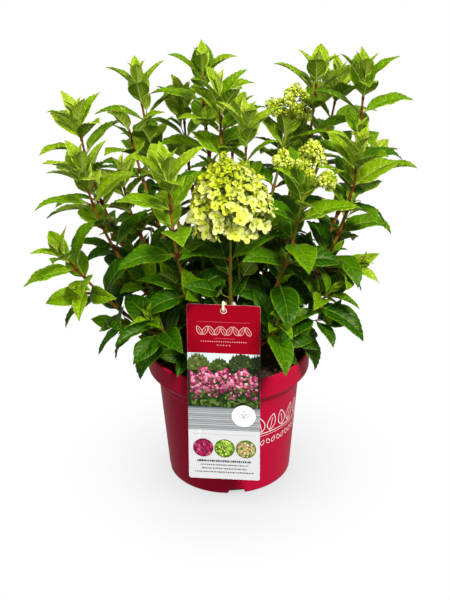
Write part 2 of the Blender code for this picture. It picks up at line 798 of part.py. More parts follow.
def keep_result(target):
    """Replace an object's mesh by what its modifiers make."""
    graph = bpy.context.evaluated_depsgraph_get()
    result = bpy.data.meshes.new_from_object(target.evaluated_get(graph))
    target.modifiers.clear()
    old = target.data
    target.data = result
    bpy.data.meshes.remove(old)


def keep_main_shell(target):
    """Drop loose scraps and the inner shells of sealed hollows."""
    shape = bmesh.new()
    shape.from_mesh(target.data)
    bmesh.ops.remove_doubles(shape, verts=shape.verts, dist=0.000002)
    bmesh.ops.dissolve_degenerate(shape, edges=shape.edges, dist=0.000002)
    waiting = set(shape.verts)
    shells = []
    while waiting:
        shell = {waiting.pop()}
        edge_of_shell = list(shell)
        while edge_of_shell:
            vert = edge_of_shell.pop()
            for edge in vert.link_edges:
                other = edge.other_vert(vert)
                if other in waiting:
                    waiting.remove(other)
                    shell.add(other)
                    edge_of_shell.append(other)
        shells.append(shell)
    shells.sort(key=len, reverse=True)
    for shell in shells[1:]:
        bmesh.ops.delete(shape, geom=list(shell), context="VERTS")
    shape.to_mesh(target.data)
    shape.free()


def fuse(name, solids, finish):
    """One solid from several that overlap, by one Boolean union on a collection."""
    pieces = bpy.data.collections.new(name + "_pieces")
    bpy.context.scene.collection.children.link(pieces)
    base = add_object(name, *solids[0], finish)
    for k, (verts, faces) in enumerate(solids[1:]):
        piece = add_object(f"{name}_piece_{k}", verts, faces)
        bpy.context.scene.collection.objects.unlink(piece)
        pieces.objects.link(piece)
    union = base.modifiers.new("union", "BOOLEAN")
    union.operation = "UNION"
    union.operand_type = "COLLECTION"
    union.collection = pieces
    union.solver = "EXACT"
    keep_result(base)
    for piece in list(pieces.objects):
        bpy.data.objects.remove(piece)
    bpy.data.collections.remove(pieces)
    keep_main_shell(base)
    return base


def mesh_solid(made):
    """The vertices and faces of an object that sits at the origin."""
    return [v.co.copy() for v in made.data.vertices], [tuple(p.vertices) for p in made.data.polygons]


def card_guard():
    """A block in front of the card that leaves stay out of."""
    top, right, up, out = card_frame()
    verts = []
    for depth in (-0.001, KEEP_CLEAR):
        for x, y in ((-0.52, 0.0), (0.52, 0.0), (0.52, 1.0), (-0.52, 1.0)):
            verts.append(top + right * CARD_WIDTH * x - up * CARD_HEIGHT * y + out * depth)
    faces = [(0, 1, 2, 3), (7, 6, 5, 4), (1, 0, 4, 5), (2, 1, 5, 6), (3, 2, 6, 7), (0, 3, 7, 4)]
    return verts, faces


def main():
    for old in list(bpy.data.objects):
        bpy.data.objects.remove(old)
    plastic = material("crimson_plastic", (0.42, 0.008, 0.028), 0.42)
    peat = material("peat", (0.035, 0.020, 0.012), 0.95)
    bark = material("stem_bark", (0.16, 0.07, 0.035), 0.7)
    foliage = material("foliage", (0.10, 0.24, 0.03), 0.45)
    card_plastic = material("card", (0.85, 0.84, 0.82), 0.4)
    loop_plastic = material("loop", (0.80, 0.68, 0.50), 0.45)

    pot = add_pot(plastic)
    soil = add_soil(peat)
    crown = add_root_crown(bark)
    stems = main_stems(SHOOTS)
    card = add_label_card(card_plastic)
    ring = ring_tube(loop_points(stems["front_bloom"]), LOOP_RADIUS, LOOP_SIDES)
    loop = add_object("label_loop", *ring, loop_plastic, smooth=True)

    fixtures = [tree_of(*mesh_solid(made)) for made in (pot, soil, crown, card, loop)]
    fixtures.append(tree_of(*card_guard()))
    stem_solids = {}
    twigs = {shoot.name: [] for shoot in SHOOTS}
    for shoot in SHOOTS:
        stem = stems[shoot.name]
        bare = tube(stem, 0.0, BARE_LENGTH, BARE_SIDES)
        add_object("stem_" + shoot.name, *bare, bark, smooth=True)
        leafy = tube(stem, BARE_LENGTH + GAP, stem.length, SHOOT_SIDES)
        stem_solids[shoot.name] = [bare, leafy]
    for twig in TWIGS:
        line = side_twig(twig, stems)
        twigs[twig.shoot].append((line, twig))
        stem_solids[twig.shoot].append(tube(line, 0.0, line.length, TWIG_SIDES))
    limb_trees = {name: tree_of(*joined(solids)) for name, solids in stem_solids.items()}

    grown = []
    for seed, shoot in enumerate(SHOOTS):
        draw = random.Random(FIRST_SEED + seed)
        stem = stems[shoot.name]
        own_limbs = [limb_trees[shoot.name]]
        others = fixtures + grown + [tree for name, tree in limb_trees.items() if name != shoot.name]
        head = flower_head(shoot, stem, draw)
        own = [tree_of(*head[0])] if shoot.end == "bloom" else []
        lines = [(stem, stem.length - BARE_LENGTH, shoot.turn, shoot.leaf)]
        for line, twig in twigs[shoot.name]:
            lines.append((line, line.length * TWIG_LEAFY, twig.turn, twig.leaf))
        leaves = []
        for line in lines:
            leaves += grow_leaves(*line, shoot.age, draw, own_limbs, others, own)
        solids = stem_solids[shoot.name][1:] + head + [leaf_solid(leaf) for leaf in leaves]
        grown.append(tree_of(*joined(solids)))
        fuse("foliage_" + shoot.name, solids, foliage)


main()
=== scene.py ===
"""The looks of a panicle hydrangea in its nursery pot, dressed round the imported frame.

Stems and leaves grow here by the same rule and the same draws as the solids, so each fine leaf lies
where its solid lies. Tip tufts, side twigs, open flowers and buds then grow on from them.
Metres, +Z up. The viewer stands in front of the pot and looks along +Y.
"""

import math
import random
from collections import namedtuple

import bpy
import numpy as np
from mathutils import Matrix, Vector, noise
from mathutils.bvhtree import BVHTree


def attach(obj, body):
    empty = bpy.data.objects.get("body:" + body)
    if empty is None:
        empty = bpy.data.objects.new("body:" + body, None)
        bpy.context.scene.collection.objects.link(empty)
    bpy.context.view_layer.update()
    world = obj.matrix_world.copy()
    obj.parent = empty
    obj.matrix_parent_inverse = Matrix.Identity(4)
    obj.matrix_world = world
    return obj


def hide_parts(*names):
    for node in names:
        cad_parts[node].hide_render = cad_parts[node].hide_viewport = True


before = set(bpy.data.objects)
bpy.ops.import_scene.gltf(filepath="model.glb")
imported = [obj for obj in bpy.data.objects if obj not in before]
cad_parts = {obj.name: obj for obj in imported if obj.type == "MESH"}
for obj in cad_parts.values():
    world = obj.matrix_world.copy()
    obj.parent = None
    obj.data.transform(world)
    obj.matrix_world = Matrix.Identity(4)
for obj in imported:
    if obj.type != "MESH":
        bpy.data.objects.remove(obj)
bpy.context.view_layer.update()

# Clear gap between solids that touch.
GAP = 0.0003

# Pot: a round nursery pot of about five litres.
POT_HEIGHT = 0.197
FOOT_RADIUS = 0.0868
BODY_TOP_RADIUS = 0.0990
SHOULDER_RADIUS = 0.1002
RIM_RADIUS = 0.1150
RIM_DEPTH = 0.033
RIM_FLARE = 0.0012
CHAMFER_HEIGHT = 0.012
STEP_DROP = 0.007
STEP_HEIGHT = 0.002
FOOT_CHAMFER = 0.0015
LIP_ROUND = 0.002
WALL = 0.0022
FLOOR = 0.0035
UNDER_RIM = POT_HEIGHT - RIM_DEPTH
CHAMFER_FOOT = UNDER_RIM - CHAMFER_HEIGHT
WALL_TOP = CHAMFER_FOOT - STEP_DROP

# Drain notches through the foot of the wall.
NOTCH_COUNT = 4
NOTCH_FIRST_TURN = -84.0
NOTCH_WIDTH = 0.026
NOTCH_TOP_WIDTH = 0.018
NOTCH_HEIGHT = 0.008
NOTCH_INNER_RADIUS = 0.078
NOTCH_OUTER_RADIUS = FOOT_RADIUS + 0.02
NOTCH_BELOW = 0.002

# Soil, a little domed, below the rim.
SOIL_EDGE_HEIGHT = 0.176
SOIL_DOME = 0.005
SOIL_DOME_RINGS = (0.70, 0.35)

# Root crown: a low knuckle of old wood that the stems spring from.
CROWN_HEIGHT = 0.197
CROWN_RADIUS = 0.026
CROWN_FLARE = 0.031

# Stems.
STEM_ROOT_RADIUS = 0.0036
STEM_TIP_RADIUS = 0.0013
ROOT_PULL = 0.34
TIP_PULL = 0.38
BARE_LENGTH = 0.075
BARE_SIDES = 4
SHOOT_SIDES = 3
TWIG_SIDES = 3
RING_SPACING = 0.038
RING_ROOM = 0.006
WAY_REACH = 0.004
ROOT_SPREAD = 24.0
SPREAD_ROUNDS = 80
SPREAD_PUSH = 0.25
TWIG_ALONG = 0.5
TWIG_LIFT = Vector((0, 0, 0.8))
TWIG_ROOT_RADIUS = STEM_TIP_RADIUS * 1.3

# Leaf pairs, from the tip of a shoot down.
FIRST_BELOW = 0.002
LAST_ROOM = 0.004
FIRST_SPACE = 0.006
SPACE_GROWTH = 1.55
FULL_SPACE = 0.037
FIRST_LEAF = 0.46
LEAF_GROWTH = 0.18
FIRST_ANGLE = 13.0
ANGLE_GROWTH = 10.0
FULL_ANGLE = 54.0
OLD_ANGLE_GROWTH = 5.0
FIRST_ARCH = 12.0
ARCH_GROWTH = 6.0
FULL_ARCH = 62.0
OLD_PAIR = 6
OLD_SHRINK = 0.05
LIGHT_TURN = 0.35
TRIES = 14
FIRST_SEED = 100
TWIG_LEAFY = 0.8

# Small differences between leaves, and how each further try keeps the leaf closer to its stem.
# A pair whose name begins with LOOSE holds the least and the most of a draw, here and below.
LOOSE_TURN = 4
LOOSER_TURN = 5
LOOSE_ANGLE = 6
CLOSER_ANGLE = 2
LEAST_ANGLE = 8
LOOSE_TILT = 0.22
LOOSE_LENGTH = (0.90, 1.06)
CLOSER_SHRINK = 0.04
LOOSE_ARCH = (0.75, 1.2)
LOOSE_FOLD = (0.6, 1.3)

# Leaf blade, as fractions of its whole length with the stalk, and the shape of its outline.
LEAF_HALF_WIDTH = 0.220
LEAF_THICKNESS = 0.0125
ROOT_HALF_THICKNESS = 0.00045
LEAF_SHOULDER = 0.36
LEAF_MIDDLE = 0.52
LEAF_WAIST = 0.70
SMALL_LEAF = 0.071
SMALL_WIDEST = LEAF_MIDDLE - 0.04
STALK_END = 0.10
EGG_POWER = 0.72
ROUND_POWER = 0.85
FOOT_WIDTH = 1.08
EGG_TAPER = 0.25
SPINE_PARTS = 6
BEND_POWER = 1.3
LEAF_FOLD = 20.0
BLADE_START = 0.20
LEAF_CLEARANCE = 0.0008

# Bloom: a cone of open flowers, dealt out by the golden angle, smaller and facing up near its tip.
GOLDEN = math.pi * (3 - math.sqrt(5))
BLOOM_LENGTH = 0.106
BLOOM_RADIUS = 0.059
BLOOM_FLOWERS = 27
FLOWER_RADIUS = 0.0160
FLOWER_THICKNESS = 0.0016
FLOWER_DEPTH = 0.010
CONE_TAPER = 0.70
CONE_POWER = 1.3
CONE_FOOT = 0.70
CONE_SWELL = 3.0
LOOSE_REACH = (0.94, 1.06)
LOOSE_SIZE = (0.9, 1.1)
FLOWER_RISE = 0.98
FLOWER_SUNK = 0.93
FLOWER_SIZES = (1.08, 0.45)
FACE_UP = (0.15, 0.9)
CORE_BELOW = 0.004
LOOSE_CORE = (0.84, 0.98)
CORE_SIDES = 11
CORE_RINGS = (-0.03, 0.10, 0.28, 0.46, 0.64, 0.82)

# Young flower heads: rounded clusters of buds on short stalks.
BUD_LEVELS = 3
BUD_SPRAYS = 3
BUD_LENGTH = 0.058
BUD_SPREAD = 0.030
BUD_CLUSTER = 0.0110
TOP_CLUSTER = 1.1
LEVEL_RISE = 0.9
LEVELS_BELOW = 0.28
LEVEL_TURN = 60
BUD_TAPER = 0.62
LOOSE_SPRAY = 15
SPRAY_UP = (0.55, 0.85)
LOOSE_CLUSTER = (0.85, 1.15)
CLUSTER_TAPER = 0.25
CLUSTER_TOP = 0.8
SPRAY_SIDES = 5

# Label card, which hangs on the front bloom's stem and leans on the rim.
CARD_WIDTH = 0.0985
CARD_HEIGHT = 0.2645
CARD_THICKNESS = 0.0008
CARD_TURN = -6.2
CARD_LEAN = 3.2
CARD_TOP = 0.313
CARD_SHIFT = 0.0055
HOLE_RADIUS = 0.0036
HOLE_DROP = 0.0085
HOLE_SIDES = 40
PUNCH_REACH = 0.003
CORNER_RADIUS = 0.003
CORNER_STEPS = 8
KEEP_CLEAR = 0.05
GUARD_HALF = 0.52

# Each shoot: its name, the end of its stem, how far its root rises above level and how far its end
# leans out from upright in degrees, the turn of its top pair of leaves, the length of its full leaf,
# its age counted in leaf pairs, and what it ends in.
Shoot = namedtuple("Shoot", "name tip rise lean turn leaf age end")
SHOOTS = (
    Shoot("front_bloom", (0.004, -0.118, 0.432), 42, 8, 20, 0.086, 0, "bloom"),
    Shoot("front_right_buds", (0.100, -0.122, 0.485), 40, 14, 10, 0.088, 0, "buds"),
    Shoot("front_left", (-0.074, -0.130, 0.512), 38, 2, 15, 0.084, 0, "tuft"),
    Shoot("middle_buds", (0.084, 0.060, 0.500), 62, 12, 60, 0.076, 0, "buds"),
    Shoot("left_low", (-0.222, -0.058, 0.366), 18, 36, 100, 0.078, 1, "tuft"),
    Shoot("left", (-0.192, -0.022, 0.474), 30, 10, 20, 0.082, 0, "tuft"),
    Shoot("right_tall", (0.184, 0.018, 0.586), 40, 2, 5, 0.080, 0, "tuft"),
    Shoot("right", (0.172, -0.052, 0.510), 34, 2, 30, 0.080, 0, "tuft"),
    Shoot("back_right_tall", (0.126, 0.098, 0.562), 52, 6, 80, 0.080, 0, "tuft"),
    Shoot("back_left_tall", (-0.031, 0.098, 0.571), 66, -4, 0, 0.078, 0, "tuft"),
    Shoot("centre_left", (-0.009, 0.030, 0.560), 84, 12, 35, 0.080, 0, "tuft"),
    Shoot("centre", (0.028, -0.004, 0.527), 76, 4, 10, 0.082, 0, "tuft"),
    Shoot("back_left", (-0.120, 0.118, 0.544), 54, 8, 5, 0.078, 0, "tuft"),
    Shoot("left_upper", (-0.204, 0.078, 0.508), 32, 8, 40, 0.080, 0, "tuft"),
    Shoot("left_inner", (-0.138, 0.100, 0.496), 42, 16, 70, 0.080, 0, "tuft"),
    Shoot("left_middle", (-0.142, 0.030, 0.440), 44, 4, 55, 0.084, 0, "tuft"),
    Shoot("back_upper", (-0.060, 0.160, 0.500), 48, 4, 30, 0.080, 0, "tuft"),
    Shoot("back_right", (0.160, 0.166, 0.525), 40, 12, 15, 0.080, 0, "tuft"),
    Shoot("right_back_low", (0.200, 0.098, 0.430), 18, 22, 65, 0.084, 0, "tuft"),
    Shoot("back_low_right", (0.110, 0.198, 0.440), 20, 16, 25, 0.086, 0, "tuft"),
    Shoot("back_low", (0.010, 0.214, 0.455), 24, 12, 75, 0.086, 0, "tuft"),
    Shoot("back_low_left", (-0.110, 0.198, 0.420), 18, 18, 40, 0.086, 0, "tuft"),
    Shoot("left_back_low", (-0.200, 0.125, 0.400), 16, 26, 10, 0.084, 0, "tuft"),
    Shoot("right_low", (0.136, -0.082, 0.315), 16, 40, 60, 0.082, 3, "tuft"),
    Shoot("front_right_low", (0.066, -0.124, 0.296), 14, 30, 20, 0.080, 3, "tuft"),
    Shoot("front_left_low", (-0.102, -0.108, 0.292), 14, 36, 30, 0.080, 3, "tuft"),
)

# Side twigs: the shoot, the distance from its tip, the turn, the length and the full leaf.
Twig = namedtuple("Twig", "shoot below turn length leaf")
TWIGS = (
    Twig("left_low", 0.075, 262, 0.060, 0.064),
    Twig("right", 0.185, 335, 0.055, 0.062),
)

Leaf = namedtuple("Leaf", "root way up length arch fold number place")

# Looks that the solids leave out. The first seed of their draws, and a leaf piece's most triangles.
LOOKS_SEED = 500
MOST_TRIANGLES = 165000
# Youngest pairs at a tip, by their number and the share of a full leaf that they start from.
TUFT_PAIRS = ((-1, 1.0), (-2, 1.3))
# Side twigs in the axils of older leaves.
SIDE_FIRST_PAIR = 3
SIDE_SHARE = 0.3
SIDE_LENGTH = (0.010, 0.030)
SIDE_LEAF = (0.34, 0.60)
# Pairs counted on to a side twig's leaves: their shape looks older, and their darker tints are painted shade
# inside the crown.
SIDE_AGE_AND_SHADE = 2
SIDE_OUT = 0.001
SIDE_LEAN = 0.8
SIDE_RADIUS = 0.0009
SIDE_TIP_RADIUS = SIDE_RADIUS * 0.6
# Pairs of twigs low on the stems.
INNER_PLACES = (0.045, 0.080, 0.120)
INNER_LOOSE = 0.008
INNER_LENGTH = (0.024, 0.040)
INNER_LEAF = (0.80, 1.06)
INNER_LEAN = 1.4
# Pairs counted on to a low twig's leaves: older shapes, and darker tints that are painted shade inside the
# crown.
INNER_AGE_AND_SHADE = 4
# The room in front of the card that fine leaves leave free: its reach, its rise and its half width.
CARD_VIEW = (0.24, 0.50, 0.49)

# Crown, and joints where leaves spring from a stem.
CROWN_RINGS = 26
CROWN_SIDES = 40
CROWN_FROM = -18
CROWN_TO = 87
FLARE_RINGS = 6
CROWN_LUMPS = ((90, 0.0012), (420, 0.0006))
BARK_OVERLAP = 0.001
JOINT_REACH = 0.0032
JOINT_SWELL = 0.42
JOINT_TINTED = 0.3
RED_REACH = 4
LEAST_STEP = 0.12

# Open head: branches in a cone, its half width by height, and the flowers and sepals they carry.
BLOOM_REACH = 0.0525
BLOOM_FOOT = 0.024
BLOOM_TOP = 0.1055
SKIRT_SAG = 0.014
BLOOM_LEAN = (0.003, -0.008)
BLOOM_BRANCHES = 46
DOME_SHARE = 0.38
LEAST_DOME = 0.0050
MOST_DOME = 0.0190
BRANCH_CROWDING = 0.66
BLOOM_OUTLINE = (
    (0.0, 0.10, 0.25, 0.42, 0.56, 0.68, 0.80, 0.91, 1.0),
    (1.10, 1.10, 1.00, 0.85, 0.66, 0.46, 0.29, 0.14, 0.03),
)
FLOWERS_EACH = (8, 10)
BEADS_EACH = 3
LOOSE_BRANCH = (0.90, 1.06)
SKIRT_SHARE = 0.4
AIM_OUT = 1.05
AIM_RISE = 0.9
AIM_SAG = 0.12
FORK_SHARE = 0.80
FORK_BELOW = 0.016
DOME_EDGE = -0.25
LOOSE_DOME = (0.80, 1.10)
FACING = (0.8, 0.2, 0.35)
LOOSE_FACING = (-0.6, 0.6)
LOOSE_LOOK_UP = (-0.3, 0.4)
LOOSE_SEPALS = (0.82, 1.12)
RIPE_AT_FOOT = 1.04
RIPE_FALL = 1.14
LOOSE_RIPE = (-0.34, 0.24)
HEART_RISE = 0.10
HEART_SIZE = 0.12
HEART_CLEAR = 0.001
BEAD_EDGE = -0.1
BEAD_REACH = (0.5, 0.85)
BEAD_SIZE = (0.0009, 0.0015)
AXIS_SHARE = 0.93
AXIS_BELOW = 0.012
SMALL_FLOWERS = 0.55
SEPAL_LENGTH = 0.0128
SEPAL_SHRINK = ((0.0, 0.35, 0.6, 0.8, 1.0), (0.92, 0.70, 0.47, 0.32, 0.25))
SEPAL_WIDTH = (0.47, 0.34)
SEPAL_LIFT = (0.05, 0.45)
INNER_LIFT = 0.14
YOUNG_LIFT = 0.55
SEPAL_DEPTH = 0.0012
# Painted light: flowers on the right, the side the key lamp lights, get paler tints.
LIT_SIDE_PALER = 0.20

# Radii of the flower stalks from their foot to their end.
AXIS_RADII = (0.0018, 0.0013, 0.0006)
BRANCH_RADII = (0.0012, 0.0009)
FLOWER_STALK_RADII = (0.0007, 0.0005)
HEAD_RADII = (0.0013, 0.0011, 0.0009)
SPRAY_RADII = (0.0009, 0.0008, 0.0006)
BUD_STALK_RADII = (0.0005, 0.0004)

# Young heads: groups of sprays, and the buds of each spray.
BUDS_EACH = 20
SPRAY_REACH = (0.55, 1.28)
GROUP_BELOW = 0.026
LOWEST_GROUP = -0.010
GROUP_FORK = 0.9
GROUP_BOW = 0.001
GROUP_EDGE = -0.35
SPRAY_RISE = (-0.003, 0.004)
SPRAY_BOW = 0.002
SPRAY_EDGE = -0.40
SPRAY_SUNK = 0.4
BUD_REACH = (0.55, 1.0)
SPRAY_RADIUS = (0.0062, 0.0092)
BUD_SIZE = (0.0013, 0.0020)
BUD_STRETCH = 1.25
OPENING_BUDS = 0.6
OPENING_SIZE = 2.0
OPENING_LIFT = 0.7

# Groups of sprays in each young head: across, up the stem and behind, spread, and how many sprays.
HEAD_GROUPS = {
    "middle_buds": (
        (0.0, 0.034, 0.0, 0.0200, 10),
        (-0.019, 0.018, -0.003, 0.0130, 6),
        (0.019, 0.018, 0.0, 0.0120, 5),
    ),
    "front_right_buds": (
        (0.000, 0.054, 0.0, 0.0165, 10),
        (-0.006, 0.033, -0.005, 0.0095, 4),
        (-0.036, 0.033, 0.004, 0.0110, 5),
        (0.024, 0.017, -0.004, 0.0120, 6),
    ),
}

# How fresh and how lit a leaf's colour is: less with age, and darker as painted shade low down, under a
# flower head and high up.
OLDEST_PAIR = 9.0
LIT_HEIGHT = 0.44
SHADE_RATE = 1.15
# Painted shade: how much darker the leaves are on a shoot that ends in a bloom or in buds, below its flower
# head.
SHADE_UNDER_HEADS = {"bloom": 0.34, "buds": 0.18, "tuft": 0.0}
# Painted shade: leaves above this height get darker tints, more so at this rate per metre.
TOP_SHADE_HEIGHT = 0.50
TOP_SHADE_RATE = 3.2
LOOSE_TINT = 0.16

# Fine leaves: side veins by the least length, the share of the solids' width for old and young ones,
# their folds, and how the blade swells.
LEAF_VEINS = ((0.045, 6), (0.024, 4), (0.0, 2))
YOUNG_PAIRS = 4
LEAF_NARROW = (1.04, 0.72)
SHORT_BY_BUDS = 0.66
LEAF_FLATTER = 0.7
YOUNG_FOLD = 20.0
LEAF_QUILT = 0.026

# Leaf, stem and flower looks. Tints are sRGB, from old and shaded to young and lit.
LEAF_GRAIN = 330.0
LEAF_PATCHES = (0.92, 1.07)
LEAF_SHEEN = {
    "Specular_IOR_Level": 0.18,
    "Specular_Tint": (1.0, 1.0, 0.60, 1.0),
    "Subsurface_Weight": 0.25,
    "Subsurface_Radius": (0.6, 1.0, 0.1),
    "Subsurface_Scale": 0.0012,
}
PETAL_SHEEN = {
    "Specular_IOR_Level": 0.14,
    "Specular_Tint": (0.9, 1.0, 0.55, 1.0),
    "Subsurface_Weight": 0.32,
    "Subsurface_Radius": (1.0, 1.0, 0.45),
    "Subsurface_Scale": 0.0025,
}
LEAF_TINTS = (
    (0.12, 0.27, 0.00),
    (0.20, 0.36, 0.00),
    (0.28, 0.43, 0.00),
    (0.35, 0.49, 0.00),
    (0.42, 0.54, 0.02),
    (0.50, 0.60, 0.08),
    (0.57, 0.65, 0.16),
)
UNDER_TINTS = ((0.34, 0.44, 0.02), (0.42, 0.52, 0.04), (0.50, 0.58, 0.11))
RIB_TINTS = ((0.42, 0.54, 0.12), (0.54, 0.64, 0.18), (0.66, 0.75, 0.28))
UNDER_RIB_TINT = (0.72, 0.78, 0.44)
STALK_TINTS = ((0.56, 0.63, 0.20), (0.48, 0.40, 0.16))
STEM_BROWN, STEM_RED, STEM_JOINT, STEM_GREEN = range(4)
STEM_TINTS = (
    (0.52, 0.35, 0.11),
    (0.41, 0.22, 0.08),
    (0.33, 0.14, 0.05),
    (0.48, 0.51, 0.14),
    (0.42, 0.40, 0.12),
)
STEM_SLOTS = (0, 1, 2, 3)
FLOWER_STEM_SLOTS = (4, 4, 0, 3)
PETAL_TINTS = (
    (0.71, 0.76, 0.10),
    (0.77, 0.81, 0.20),
    (0.80, 0.82, 0.28),
    (0.82, 0.84, 0.37),
    (0.84, 0.85, 0.50),
)
HEART_GREEN = (0.58, 0.67, 0.00)
# Partly the stalks' own green, partly painted shade: dark so that the gaps between flowers look shaded.
FLOWER_STALK_SHADED_GREEN = (0.26, 0.39, 0.00)
BUD_TINTS = ((0.60, 0.67, 0.09), (0.71, 0.76, 0.20), (0.83, 0.86, 0.40))
# Partly the stalks' own green, partly painted light: pale so that the gaps inside the bud clusters look lit.
BUD_STALK_LIT_GREEN = (0.58, 0.66, 0.13)
BARK_BROWN = (0.38, 0.25, 0.12)
BARK_PATCHES = ((0.28, 0.17, 0.08), (0.49, 0.34, 0.18))

# Pot and soil looks.
FINE_POT_SIDES = 176
POT_ROUND = 0.0012
RING_HEIGHTS = (0.0095, 0.0120)
POT_COLOUR = (0.71, 0.05, 0.20)
POT_SHEEN = {"Specular_IOR_Level": 0.08, "Specular_Tint": (1.0, 0.45, 0.5, 1.0)}
SOIL_RINGS = 46
SOIL_SIDES = 150
SOIL_LUMPS = ((75, 0.0030), (230, 0.0020), (620, 0.0009))
PEAT_BROWN = (0.19, 0.12, 0.07)
PEAT_PATCHES = ((0.09, 0.05, 0.03), (0.34, 0.23, 0.14))
CRUMBS = 1300
CRUMB_SIZE = (0.0008, 0.0026)
CRUMB_SPREAD = (0.06, 0.96)
SMALL_CRUMBS = 0.8
LARGE_CRUMB = 1.5
CRUMB_WIDE = (0.6, 1.3)
CRUMB_FLAT = (0.4, 0.9)
CRUMB_LUMPS = (0.75, 1.15)
CRUMB_TINTS = ((0.24, 0.15, 0.07), (0.42, 0.29, 0.17), (0.62, 0.47, 0.31))

# Prints: how far each level stands proud, how deep a plate is sunk, and the border on the pot with its
# big leaves and a row of small ones.
INK_STEP = 0.00003
INK_DEPTH = 0.00012
PRINT_ROOM = 0.00040
PRINT_RADIUS = 0.0945
PRINT_TURNS = (-52.0, 128.0)
PRINT_SPAN = 0.150
PRINT_MIDDLE = 0.112
PRINT_LEAF = (0.025, 0.0066)
PRINT_WEIGHT = 0.0012
PRINT_TILT = 0.22
PRINT_VEIN = (-0.58, -0.2, 0.25)
OUTLINE_STEPS = 20
OUTLINE_EGG = 0.35
OUTLINE_POINT = 0.35
VEIN_WEIGHT = 0.0009
LEAF_PITCH = 0.0190
PRINT_RULES = ((0.0925, 0.0006), (0.0965, 0.0012))
SMALL_ROW = 0.0810
SMALL_SHARE = (0.36, 0.40)
SMALL_TILT = 0.5
SMALL_WEIGHT = 0.0010
POT_INK = (0.93, 0.91, 0.90)

# Strand that the card hangs on.
STRAND_RADIUS = 0.0018
STRAND_CREAM = (0.93, 0.87, 0.70)

# The card's design, in millimetres across from its middle and down from its top.
PRINT_INSET = 0.08
HEADER_END = 71.5
PICTURE_END = 188.0
HEADER_RED = (0.56, 0.00, 0.09)
PALE_INK = (0.90, 0.74, 0.73)
ROSE_INK = (0.80, 0.42, 0.44)
RING_WHITE = (0.97, 0.96, 0.95)
GARLAND_LEAVES = 9
GARLAND_REACH = 37
GARLAND_DOWN = 38
GARLAND_LEAF = (14.0, 3.1)
GARLAND_TILT = 0.45
GARLAND_VEIN = (-7.4, 0, 3.24)
GARLAND_WEIGHT = 0.58
FINE_WEIGHT = 0.4
UPPER_RULE = (-35, 35, 25.4, 0.32)
LOWER_RULE = (-13, 15, 49.6, FINE_WEIGHT)
HEADER_DISCS = ((21, 3, 54.2, 0.65), (5, 4, 59.4, 0.72))
HOLE_RING = 4.05
HOLE_RING_WEIGHT = 0.8

# Far hedges in the card's picture: middle, foot, half width, height and colour.
HEDGES = (
    (-35, 106, 20, 33, (0.31, 0.37, 0.17)),
    (24, 106, 22, 36, (0.19, 0.24, 0.12)),
    (-6, 106, 17, 27, (0.22, 0.29, 0.12)),
    (45, 106, 15, 33, (0.14, 0.19, 0.10)),
)
HEDGE_STEPS = 30
HEDGE_DABS = 150
RUFFLE = 0.10
RUFFLE_RATE = 2.6
DAB_TURN = (0.25, 2.9)
DAB_NEAR = (0.3, 0.97)
DAB_LIGHTS = (0.7, 1.25, 1.5)
DAB_SIZE = (0.8, 2.0)
DAB_MARGIN = 3
SKY_END = 108
SKY_PALE = (0.82, 0.86, 0.87)

# Bed of leaves and flowers in drifts, and the paved edge below it.
BED_TOP = 97
BED_END = 153
BED_GREEN = (0.12, 0.17, 0.08)
BED_LEAVES = 230
LEAF_MARGIN = 4
LEAF_ROWS = (103, 151)
LEAF_SPANS = ((5, 9), (1.1, 1.9), (-1.5, 1.5))
BED_FLOWERS = 360
DRIFT_REACH = 46
DRIFT_MARGIN = 4.5
DRIFT_RATE = 0.24
DRIFT_TOP = 103
DRIFT_DEPTH = 36
DRIFT_FLOWER = (1.5, 3.2)
PAVING_TOP = 155.4
PAVING_ROWS = 11
PAVING_PITCH = 3.0
PAVING_STONE = 2.0
PAVING_GREY = (0.40, 0.44, 0.49)
PICTURE_GREENS = ((0.19, 0.30, 0.12), (0.27, 0.38, 0.14), (0.15, 0.23, 0.10), (0.38, 0.48, 0.20))
PINKS_DEEPEN = 0.13
DEEPEN_STEP = 9
PICTURE_PINKS = (
    (0.58, 0.17, 0.32),
    (0.70, 0.28, 0.42),
    (0.80, 0.44, 0.54),
    (0.44, 0.11, 0.24),
    (0.84, 0.58, 0.64),
)

# Round badge at the picture's foot, and round patches of flower colour below it: middle, ground, dabs.
BADGE_PLACE = (27, 165)
BADGE_RADIUS = 16.4
BADGE_RING = 14.6
BADGE_LEAF = (10.5, 2.3)
BADGE_LIFT = 5.2
BADGE_WHITE = (0.92, 0.92, 0.91)
BADGE_GREY = (0.55, 0.55, 0.55)
BADGE_DARK = (0.30, 0.32, 0.30)
FOOT_RULE = (-43, 43, 195, 0.45)
RULE_GREY = (0.62, 0.62, 0.62)
PATCH_DOWN = 216.3
PATCH_RADIUS = 14.2
PATCH_REACH = 12.2
PATCH_DABS = 70
PATCHES = (
    (-29.0, (0.42, 0.10, 0.22), ((0.70, 0.16, 0.34), (0.80, 0.34, 0.46), (0.58, 0.12, 0.28))),
    (0.5, (0.30, 0.42, 0.12), ((0.66, 0.78, 0.26), (0.78, 0.86, 0.42), (0.52, 0.68, 0.20))),
    (30.0, (0.36, 0.44, 0.18), ((0.86, 0.62, 0.56), (0.90, 0.76, 0.62), (0.72, 0.74, 0.36))),
)

# Rows of strokes at the card's foot: place, half width, height and shade.
FOOT_ROWS = (
    (236.5, 37.5, 3.0, 0.12),
    (242.6, 33, 1.9, 0.36),
    (248.2, 31, 1.9, 0.36),
    (253.8, 41, 1.9, 0.36),
)

